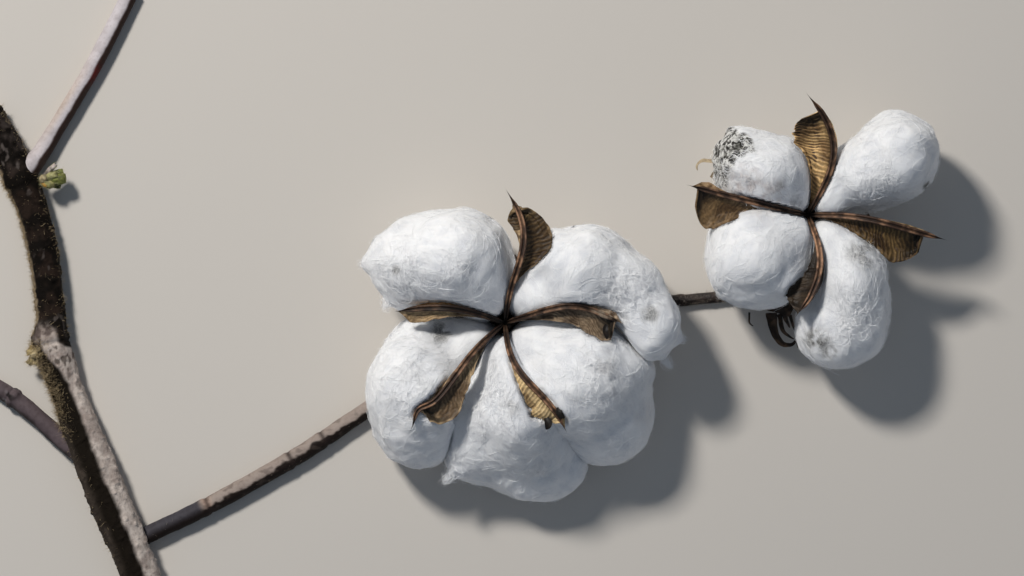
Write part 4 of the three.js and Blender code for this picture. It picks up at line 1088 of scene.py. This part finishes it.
def make_bract(boll, number, bract):
    """A blade that leaves the cup and bends down, and long teeth at its end. strands holds the teeth that
    show: turn about the boll and distance where each starts, heading, length, how far it curls, width."""
    heading, reach, lift = bract["heading"], bract["reach"], bract["lift"]
    centre = np.array([*boll["centre"], 0.0])
    strands = bract["strands"] or [
        [heading + 12 * k, reach - 12, heading + 30 * k, 9.5, 90 * k, 1.6] for k in np.linspace(-1, 1, 4)]
    blade_end = min(strand[1] for strand in strands) + 0.8
    r = np.linspace(4.0, blade_end, 44)
    height = 10.9 - (10.9 - lift) * np.sin(np.pi / 2 * np.minimum(1, 1.6 * (r - 4.6) / (reach - 4.6)))
    line = centre + toward(heading) * r[:, None] + UP * height[:, None]
    t = np.linspace(0, 1, len(r))
    widths = 10.5 * (0.45 + 0.55 * np.sin(np.pi * (0.2 + t * 0.7)))
    parts = [strap_skin(line, widths, 0.5, UP, 0.16, 44)]
    u = np.linspace(0, 1, 44)
    for k, (turn, begin, heading, length, curl, width) in enumerate(strands):
        way = math.radians(heading) + math.radians(curl) * u**2.2 + 0.12 * np.sin(9 * u + 2 * k)
        steps = np.stack([np.cos(way), np.sin(way), 0.12 * np.sin(5 * u + 2 * k)], axis=-1) * length / len(u)
        tooth = centre + toward(turn) * begin + UP * height[-1] + np.cumsum(steps, axis=0)
        twist = unit(UP + np.array([math.sin(k * 2.4), math.cos(k * 2.4), 0.0]) * 0.8)
        parts.append(strap_skin(tooth, width * (1 - u) ** 0.6 + 0.2, 0.34, twist, 0.2, 10))
    points, faces = joined(parts)
    points = points + 0.22 * noise_vectors(points, 1.8)
    points[:, 2] = np.maximum(points[:, 2], 0.1)
    colour = two_tone([0.03, 0.019, 0.013], [0.15, 0.095, 0.06], points, 2.0, -0.3, 0.6, 4)
    if bract.get("straw"):
        far = np.linalg.norm((points - centre)[:, :2], axis=1)
        straw = blend_colours([0.50, 0.40, 0.26], [0.05, 0.03, 0.02], smoothstep(35.0, 35.6, far))
        colour = layered(colour, (straw, smoothstep(26, 31, far)))
    stand_in("bract", boll, number, points, faces, BURR, colour)


# Cotton

LOCK_ROWS = 156
LOCK_COLUMNS = 220
MAP_CELLS = 270
MAP_STEP = 0.5
OPEN_SKY = 99.0


def map_cell(xy):
    """Row and column of points in a boll's plan map, whose middle is the boll's."""
    cell = np.clip(np.round(xy / MAP_STEP).astype(int) + MAP_CELLS // 2, 0, MAP_CELLS - 1)
    return cell[..., 0], cell[..., 1]


def burr_map(boll):
    """Plan maps of a boll: how high cotton may rise under each cell's ridges and bare walls, and how far
    the cell is from the nearest ridge or wall."""
    centre = np.array([*boll["centre"], 0.0])
    low = np.full((MAP_CELLS, MAP_CELLS), OPEN_SKY)
    cells = (np.arange(MAP_CELLS) - MAP_CELLS // 2) * MAP_STEP
    gap = np.full((MAP_CELLS, MAP_CELLS), OPEN_SKY)
    edges = []
    s = np.linspace(0.02, 1, 320)
    for valve in boll["valves"]:
        ridge, ahead, left = ridge_frame(boll, valve, s)
        for offset in np.linspace(-1, 1, 7):
            at = ridge - centre + left * (ridge_half(s) * offset)[:, None]
            np.minimum.at(low, map_cell(at[:, :2]), at[:, 2] - 1.2)
        for side, sign in (("left", 1), ("right", -1)):
            is_bare = s > valve[side][4]
            for out in np.linspace(0, 1, 34):
                across, height = wall_place(valve, side, ridge[is_bare], s[is_bare], out)
                at = ridge[is_bare] - centre + left[is_bare] * (sign * across)[:, None]
                at = at + ahead[is_bare] * (across * lean_of(valve, s[is_bare]))[:, None]
                np.minimum.at(low, map_cell(at[:, :2]), at[:, 2] + height - 0.7)
            for out in (0.5, 1.0):
                across, _ = wall_place(valve, side, ridge, s, out)
                at = left * (sign * across)[:, None] + ahead * (across * lean_of(valve, s))[:, None]
                edges.append((ridge - centre + at)[::8])
        edges.append((ridge - centre)[::8])
    for x, y, _ in np.concatenate(edges):
        gap = np.minimum(gap, np.hypot(cells[:, None] - x, cells[None, :] - y))
    return low, gap


def puff_strength(puffs, p):
    """Over 1 inside any of a lock's puffs, and more where puffs meet: the sum over the puffs of an
    exponential that falls off with the distance from the puff's middle in its own radii."""
    total = np.zeros(p.shape[:-1])
    for at, radii in puffs:
        rho = np.sqrt((((p - np.array(at)) / np.array(radii)) ** 2).sum(-1))
        total += np.exp(-FIRMNESS * (rho - 1))
    return total


def ridge_turns(boll):
    """Distance from the boll's axis and turn about it along each ridge."""
    turns = []
    for valve in boll["valves"]:
        ridge = ridge_line(boll, valve, np.linspace(0.02, 1, 80)) - [*boll["centre"], 0]
        turns.append((np.hypot(ridge[:, 0], ridge[:, 1]), np.unwrap(np.arctan2(ridge[:, 1], ridge[:, 0]))))
    return turns


def past_ridge(p, turn):
    """How far points lie anticlockwise of a ridge, seen from above, or nothing past most of the ridge."""
    distance = np.hypot(p[..., 0], p[..., 1])
    angle = np.arctan2(p[..., 1], p[..., 0]) - np.interp(distance, *turn)
    angle = (angle + np.pi) % (2 * np.pi) - np.pi
    return np.where(distance < 0.72 * turn[0][-1], distance * np.clip(angle, -1.2, 1.2), np.nan)


def blurred(grid, times):
    """Each value averaged with its neighbours along rows and round columns, several times."""
    for _ in range(times):
        grid = (2 * grid + np.roll(grid, 1, 1) + np.roll(grid, -1, 1)) / 4
        padded = np.concatenate([grid[:1], grid, grid[-1:]])
        grid = (2 * grid + padded[:-2] + padded[2:]) / 4
    return grid


def surface_normals(grid):
    """Outward unit normals of a grid of polar angle and turn: the cross product of its two slopes."""
    down = np.gradient(grid, axis=0)
    round_ = np.roll(grid, -1, 1) - np.roll(grid, 1, 1)
    normal = unit(np.cross(down, round_))
    normal[0] = unit(normal[1].mean(0))
    normal[-1] = unit(normal[-2].mean(0))
    return normal


def plain_lock(boll, own, maps, turns):
    """A lock's bare skin on a grid of polar angle about a level axis across the lock, and turn about it.
    Along each ray from the lock's middle the skin lies where the lock's strength runs out, a neighbour is
    stronger, a ridge line or the burr above is met, or the floor. Also gives how free each point is of the
    burr, from a quarter close to it to 1."""
    others = [puffs for puffs in boll["locks"] if puffs is not own]
    weights = np.array([radii[0] * radii[1] for _, radii in own])
    middle = (np.array([at for at, _ in own]) * weights[:, None]).sum(0) / weights.sum()
    ahead = unit(middle * [1, 1, 0])
    pole = np.array([-ahead[1], ahead[0], 0.0])
    polar = np.linspace(0, np.pi, LOCK_ROWS)[:, None, None]
    turn = np.linspace(0, 2 * np.pi, LOCK_COLUMNS, endpoint=False)[None, :, None]
    rays = np.cos(polar) * pole + np.sin(polar) * (np.cos(turn) * UP + np.sin(turn) * ahead)
    rays = rays.reshape(-1, 3)
    low, gap = maps
    sides = np.array([past_ridge(0.4 * middle, ridge) for ridge in turns])
    after = min((k for k in range(len(turns)) if sides[k] > 0), key=lambda k: sides[k])
    before = max((k for k in range(len(turns)) if sides[k] < 0), key=lambda k: sides[k])

    def is_inside(which, r):
        """Whether the point at r along each ray is in this lock: above the floor, below the burr, between
        the lock's two ridge lines, and where its strength, raised in narrow gaps, is enough and no
        rival's is greater."""
        p = middle + rays[which] * r[:, None]
        strength = puff_strength(own, p)
        filled = swelling(gap[map_cell(p[:, :2])], 0, FILL_WIDTH) * (p[:, 2] > FILL_FROM)
        inside = (p[:, 2] >= 0) & (strength * (1 + FILL_ALONE * filled) > SWELL)
        near = np.flatnonzero(inside)
        q = p[near]
        rival = np.max([puff_strength(puffs, q) for puffs in others], axis=0)
        stays = strength[near] * (1 + FILL_BESIDE * filled[near]) > TOUCH * rival
        stays &= q[:, 2] < low[map_cell(q[:, :2])]
        high = q[:, 2] > PARTED_FROM
        stays &= ~(high & (past_ridge(q, turns[after]) < -PARTED_SLACK))
        stays &= ~(high & (past_ridge(q, turns[before]) > PARTED_SLACK))
        inside[near] = stays
        return inside

    near_r = np.full(len(rays), RAY_START)
    going = np.arange(len(rays))
    while len(going):
        stays = is_inside(going, near_r[going] + RAY_STEP)
        near_r[going[stays]] += RAY_STEP
        going = going[stays]
        going = going[near_r[going] < LOCK_REACH]
    far_r = near_r + RAY_STEP
    for _ in range(RAY_HALVINGS):
        half = (near_r + far_r) / 2
        inside = is_inside(np.arange(len(rays)), half)
        near_r = np.where(inside, half, near_r)
        far_r = np.where(inside, far_r, half)
    r = blurred(near_r.reshape(LOCK_ROWS, LOCK_COLUMNS), 4)
    r[0], r[-1] = r[0].mean(), r[-1].mean()
    centre = np.array([*boll["centre"], 0.0])
    lock = {"middle": middle + centre, "centre": centre, "ahead": ahead, "pole": pole, "low": low}
    set_skin(lock, lock["middle"] + rays.reshape(LOCK_ROWS, LOCK_COLUMNS, 3) * r[..., None])
    return lock, 0.25 + 0.75 * smoothstep(0.6, 3.5, gap[map_cell((lock["grid"] - centre)[..., :2])])


def set_skin(lock, grid):
    """Gives a lock its grid and the grid's normals."""
    lock["grid"], lock["normal"] = grid, surface_normals(grid)


def under_burr(lock, grid, clearance):
    """The grid, with points that stand above the burr pushed down to it, and none below the floor."""
    roof = lock["low"][map_cell((grid - lock["centre"])[..., :2])] + clearance
    grid[..., 2] = np.maximum(np.minimum(grid[..., 2], roof), 0.0)
    return grid


def lock_surface(boll, own, maps, turns, seed):
    """A lock's skin, lumped by noise, then raised along broad and fine wisps that are laid over it, wrinkled
    in crust, sunk in soil, and drawn out at each tuft. All of it is weaker close to the burr."""
    lock, free = plain_lock(boll, own, maps, turns)
    grid = lock["grid"]
    fluff = fluff_of(grid)
    lumps = 0.9 * noise(grid, 8.5, 3) + 0.45 * noise(grid, 4.4, 4)
    set_skin(lock, under_burr(lock, grid + lock["normal"] * (lumps * free)[..., None], 0.1))
    grid = lock["grid"]
    broad = wisp_density(lock, 260, 26, 0.75, 3, seed)
    fine = wisp_density(lock, 1500, 16, 0.6, 1, seed + 1)
    wrinkle = 1 - np.abs(rough(grid, 3.2, 2, 5))
    relief = (0.22 + 0.25 * fluff) * (broad - 0.6) + (0.03 + 0.34 * fluff) * (fine - 0.6)
    relief = relief + 0.26 * fluff * rough(grid, 1.5, 2, 1)
    relief = relief + marks(grid, CRUST) * 1.7 * (wrinkle - 0.75)
    relief = relief + marks(grid, SOIL) * 0.35 * (noise(grid, 1.3, 2) - 0.5)
    grid = grid + lock["normal"] * (relief * free)[..., None]
    for x, y, z, heading, length in TUFTS:
        near = swelling(np.linalg.norm(grid - [x, y, z], axis=-1), 0, TUFT_SPREAD)
        grid = grid + near[..., None] * length * toward(heading, 0.1)
    grid = under_burr(lock, grid, 0.0)
    grid[0], grid[-1] = grid[0].mean(0), grid[-1].mean(0)
    set_skin(lock, grid)
    # Painted shade: where the wisps lie thin the cotton is painted a little darker, as shade falls in its
    # hollows.
    lock["painted_hollow_shade"] = 1 - np.clip(0.5 * broad + 0.5 * fine, 0, 1)
    lock["wrinkle"] = wrinkle
    return lock


def make_lock(boll, number, lock):
    """Clean cotton is white, with painted shade in its hollows, where its wisps lie thin; crust is black in
    its wrinkles and grey on their crests; soil and stain are soft patches. The tint's fourth value is 0 on
    crust."""
    points, faces = outward(*closed_skin(lock["grid"][1:-1], lock["grid"][0, 0], lock["grid"][-1, 0]))
    painted_hollow_shade, wrinkle = (np.append(lock[key][1:-1].ravel(), [0, 0]) for key in ("painted_hollow_shade", "wrinkle"))
    stain = marks(points, STAIN) * smoothstep(-0.5, 0.5, rough(points, 2.0, 3, 1))
    soil = marks(points, SOIL)
    soil = soil * smoothstep(-0.15, 0.55, rough(points, 1.9, 3, 2) + 0.6 * soil)
    covered = smoothstep(0.25, 0.7, marks(points, CRUST) + 0.3 * rough(points, 2.4, 3, 3))
    crest = smoothstep(0.5, 0.95, wrinkle + 0.12 * noise(points, 0.9, 4))
    colour = layered(
        [0.93, 0.932, 0.94],
        ([0.80, 0.81, 0.835], smoothstep(0.35, 1.0, painted_hollow_shade)),
        ([0.45, 0.34, 0.29], np.clip(stain, 0, 1)),
        ([0.11, 0.105, 0.095], np.clip(soil * 1.15, 0, 1)),
        (blend_colours([0.16, 0.155, 0.14], [0.70, 0.69, 0.66], crest), covered))
    stand_in("lock", boll, number, points, faces, COTTON, np.column_stack([colour, 1 - covered]))


def on_grid(lock, rays):
    """Row and column of rays on a lock's grid, as fractions."""
    row = np.arccos(np.clip(rays @ lock["pole"], -1, 1)) / np.pi * (LOCK_ROWS - 1)
    column = (np.arctan2(rays @ lock["ahead"], rays[:, 2]) / (2 * np.pi) % 1) * LOCK_COLUMNS
    return row, column


def on_surface(lock, rays):
    """Point and normal of a lock's skin along each ray, blended between its grid's four nearest."""
    row, column = on_grid(lock, rays)
    i = np.clip(row.astype(int), 0, LOCK_ROWS - 2)
    j = column.astype(int) % LOCK_COLUMNS
    u, v = (row - i)[:, None], (column - np.floor(column))[:, None]
    k = (j + 1) % LOCK_COLUMNS

    def pick(grid):
        """The grid's value at u and v between the four corners of a cell."""
        return (grid[i, j] * (1 - u) * (1 - v) + grid[i + 1, j] * u * (1 - v)
                + grid[i, k] * (1 - u) * v + grid[i + 1, k] * u * v)

    return pick(lock["grid"]), unit(pick(lock["normal"]))


def walk(lock, rays, turn, bend, stride, steps):
    """Paths laid over a lock's skin from where the rays meet it: each heads away from the boll's axis,
    turned by its own angle and by a slow swirl of noise, and turns on by bend at each step."""
    paths, normals = [], []
    for k in range(steps):
        at, normal = on_surface(lock, rays)
        paths.append(at)
        normals.append(normal)
        away = (at - lock["centre"]) * [1, 1, 0.3]
        away = unit(away - (away * normal).sum(1, keepdims=True) * normal)
        beside = np.cross(normal, away)
        angle = turn + bend * k + 1.1 * noise(at, 13.0, 2) + 0.5 * noise(at, 5.0, 4)
        flow = np.cos(angle)[:, None] * away + np.sin(angle)[:, None] * beside
        rays = unit(at + flow * stride[:, None] - lock["middle"])
    return np.stack(paths, 1), np.stack(normals, 1)


def wisp_density(lock, count, steps, stride, blur, seed):
    """How thickly wisps lie over each cell of the grid: paths are laid over the skin, each of their points
    is shared among its four nearest cells by area, and the result is blurred and levelled off at 1."""
    rng = np.random.default_rng(seed)
    rays = unit(rng.normal(size=(count, 3)))
    turn = rng.normal(size=count) * 0.6 + rng.integers(0, 2, count) * np.pi
    bend = rng.normal(size=count) * 0.05
    paths, _ = walk(lock, rays, turn, bend, np.full(count, stride), steps)
    row, column = on_grid(lock, unit(paths.reshape(-1, 3) - lock["middle"]))
    weight = np.sin(np.pi * (np.arange(steps) + 0.5) / steps) * rng.uniform(0.4, 1.5, (count, 1))
    i, j = np.clip(row.astype(int), 0, LOCK_ROWS - 2), column.astype(int) % LOCK_COLUMNS
    u, v = row - i, column - np.floor(column)
    total = np.zeros(LOCK_ROWS * LOCK_COLUMNS)
    for di, dj, share in ((0, 0, (1 - u) * (1 - v)), (1, 0, u * (1 - v)), (0, 1, (1 - u) * v), (1, 1, u * v)):
        cell = (i + di) * LOCK_COLUMNS + (j + dj) % LOCK_COLUMNS
        total += np.bincount(cell, share * weight.ravel(), len(total))
    grid = lock["grid"]
    down = np.gradient(grid, axis=0)
    round_ = (np.roll(grid, -1, 1) - np.roll(grid, 1, 1)) / 2
    area = np.linalg.norm(np.cross(down, round_), axis=-1)
    density = blurred(total.reshape(LOCK_ROWS, LOCK_COLUMNS), blur) / np.maximum(area, 0.25 * area.mean())
    return 1 - np.exp(-1.1 * density / density.mean())


FIBRE_POINTS = 8


def make_fibres(boll, number, lock, count=8000):
    """Fibres laid over a lock: bundles that run side by side, single ones at any angle, and in the loose
    places more that arch away from the skin. Each is a flat strip that lies along the skin."""
    rng = np.random.default_rng(100 * boll["number"] + number)
    kind = rng.choice(3, count, p=[0.42, 0.3, 0.28])
    in_bundle, is_fluff = kind == 0, kind == 2
    bundles = count // 12
    heads = unit(rng.normal(size=(bundles, 3)) + [0, 0, 0.4])
    member = rng.integers(0, bundles, count)
    rays = unit(rng.normal(size=(count, 3)) + [0, 0, 0.35])
    rays = np.where(in_bundle[:, None], unit(heads[member] + rng.normal(size=(count, 3)) * 0.022), rays)
    at, _ = on_surface(lock, rays)
    fluff = fluff_of(at)
    tries = unit(rng.normal(size=(count, 3)) + [0, 0, 0.5])
    tries_fluff = fluff_of(on_surface(lock, tries)[0])
    rays = np.where((is_fluff & (tries_fluff > fluff))[:, None], tries, rays)
    fluff = fluff_of(on_surface(lock, rays)[0])
    turn = np.where(in_bundle, (rng.normal(size=bundles) * 0.6)[member] + 0.06 * rng.normal(size=count),
                    rng.uniform(-np.pi, np.pi, count))
    turn = turn + np.where(rng.random(count) < 0.5, np.pi, 0)
    bend = np.where(in_bundle, (rng.normal(size=bundles) * 0.12)[member], rng.normal(size=count) * 0.22)
    stride = np.where(in_bundle, rng.uniform(0.9, 1.6, bundles)[member], rng.uniform(0.45, 1.1, count))
    paths, normals = walk(lock, rays, turn, bend, stride, FIBRE_POINTS)
    t = np.linspace(0, 1, FIBRE_POINTS)
    loose_arch = rng.uniform(0.3, 1.3, count) * (0.3 + 0.9 * fluff)
    bundle_arch = rng.uniform(0.04, 0.22, bundles)[member]
    single_arch = rng.uniform(0.03, 0.15, count)
    arch = np.where(is_fluff, loose_arch, np.where(in_bundle, bundle_arch, single_arch))
    flare = np.where(rng.random(count) < 0.06 + 0.14 * fluff, rng.uniform(0.2, 1.1, count), 0)
    flare = flare + np.where(rng.random(count) < 0.002, rng.uniform(1.5, 3.0, count), 0)
    paths = paths + normals * (arch[:, None] * np.sin(np.pi * t) + 0.04 + flare[:, None] * t**2)[..., None]
    wobble = np.stack([noise(paths + 7 * k, 1.6, k) for k in (0, 3, 5)], axis=-1)
    paths = paths + wobble * (0.12 + 0.22 * fluff)[:, None, None]
    roof = lock["low"][map_cell((paths - lock["centre"])[..., :2])]
    keep = (paths[..., 2].min(1) > 0.3) & (paths[..., 2] < roof + 1.4).all(1)
    keep &= marks(paths[:, 0], CRUST) < rng.uniform(0.1, 0.7, count)
    keep &= rng.random(count) < 0.15 + 1.3 * fluff
    paths, normals = paths[keep], normals[keep]
    along = unit(np.gradient(paths, axis=1))
    across = unit(np.cross(normals, along) + 0.4 * rng.normal(size=(len(paths), 1, 3)))
    widths = rng.uniform(0.05, 0.12, (len(paths), 1)) * np.minimum(1, 4 * np.minimum(t, 1 - t) + 0.15)
    points, faces = strips(paths, across, widths)
    colour = layered(
        CLEAN_FIBRE,
        ([0.55, 0.48, 0.44], marks(points, STAIN) * 0.7),
        ([0.35, 0.34, 0.32], marks(points, SOIL) * 0.8))
    make_piece(f"fibres_{boll['number']}_{number}", points, faces, FIBRE, colour)


def make_tufts(count=110):
    """Small pointed tufts: bowed fibres that leave the cotton side by side and close to a point."""
    rng = np.random.default_rng(77)
    paths = []
    t = np.linspace(0, 1, FIBRE_POINTS)[None, :, None]
    for x, y, z, heading, length in TUFTS:
        at = np.array([x, y, z])
        roots = at + rng.normal(size=(count, 3)) * [1.0, 1.0, 1.4]
        ends = at + toward(heading, 0.1) * (length + 1.2) + rng.normal(size=(count, 3)) * [0.55, 0.55, 0.9]
        bow = rng.normal(size=(count, 1, 3)) * 0.5
        paths.append(roots[:, None] * (1 - t) + ends[:, None] * t + bow * np.sin(np.pi * t))
    paths = np.concatenate(paths)
    across = unit(np.cross(unit(np.gradient(paths, axis=1)), rng.normal(size=(len(paths), 1, 3))))
    points, faces = strips(paths, across, 0.1 * (1.1 - t[..., 0]) + 0 * paths[..., 0])
    make_piece("cotton_tufts", points, faces, FIBRE, np.tile(CLEAN_FIBRE, (len(points), 1)))


# The branch

make_main_stem()
make_upper_branch()
make_left_branch()
make_fruiting_branch()
make_bud("upper_bud", [-132.2, 40.4, 6.0], UPPER_BUD_LOBES, [0.52, 0.50, 0.27], 700, 31)
make_bud("lower_bud", [-132.3, -8.0, 6.4], LOWER_BUD_LOBES, [0.56, 0.45, 0.27], 1800, 41)
for boll in (BOLL_1, BOLL_2):
    make_stalk(boll)
    for number, valve in enumerate(boll["valves"], 1):
        make_valve(boll, number, valve)
    for number, bract in enumerate(boll["bracts"], 1):
        make_bract(boll, number, bract)
    maps, turns = burr_map(boll), ridge_turns(boll)
    for number, puffs in enumerate(boll["locks"], 1):
        lock = lock_surface(boll, puffs, maps, turns, 500 + 10 * number)
        make_lock(boll, number, lock)
        make_fibres(boll, number, lock)
make_tufts()


# Floor, light and camera

def flat_material(name, colour, roughness):
    """A material of one colour."""
    material = bpy.data.materials.new(name)
    material.use_nodes = True
    shader = material.node_tree.nodes["Principled BSDF"]
    shader.inputs["Base Color"].default_value = (*colour, 1)
    shader.inputs["Roughness"].default_value = roughness
    shader.inputs["Specular IOR Level"].default_value = 0.2
    return material


FLOOR_HALF = 3.0
FLOOR_LEVEL = -0.0002
corners = [(FLOOR_HALF * x, FLOOR_HALF * y, FLOOR_LEVEL) for x, y in ((-1, -1), (1, -1), (1, 1), (-1, 1))]
floor_mesh = bpy.data.meshes.new("floor")
floor_mesh.from_pydata(corners, [], [(0, 1, 2, 3)])
floor = bpy.data.objects.new("floor", floor_mesh)
bpy.context.scene.collection.objects.link(floor)
floor_mesh.materials.append(flat_material("pale floor", (0.64, 0.60, 0.55), 0.9))


def add_softbox(name, place, size, power, colour):
    """A square area light at place, aimed at the middle of the branch."""
    light = bpy.data.lights.new(name, "AREA")
    light.size = size
    light.energy = power
    light.color = colour
    lamp = bpy.data.objects.new(name, light)
    bpy.context.scene.collection.objects.link(lamp)
    lamp.location = place
    x, y, z = -np.array(place) + [0, 0, 0.02]
    lamp.rotation_euler = (math.pi / 2 + math.atan2(z, math.hypot(x, y)), 0, math.atan2(y, x) - math.pi / 2)


add_softbox("key", (-0.54, 0.70, 1.02), 0.18, 15.4, (1.0, 0.97, 0.925))
add_softbox("fill", (0.6, -0.9, 0.9), 1.2, 0.8, (0.78, 0.87, 1.0))
world = bpy.data.worlds.new("soft room")
world.use_nodes = True
background = world.node_tree.nodes["Background"]
background.inputs["Color"].default_value = (0.66, 0.80, 1.0, 1)
background.inputs["Strength"].default_value = 0.165
bpy.context.scene.world = world
bpy.context.scene.view_settings.view_transform = "Standard"

camera_data = bpy.data.cameras.new("camera")
camera_data.sensor_width = 36
camera_data.lens = 147.53
camera_data.clip_start = 0.05
camera = bpy.data.objects.new("camera", camera_data)
bpy.context.scene.collection.objects.link(camera)
camera.location = LAYOUT_ZERO + np.array([1.96, 9.8, 1200.0]) * MM
camera.rotation_euler = (0, 0, 0)
bpy.context.scene.camera = camera
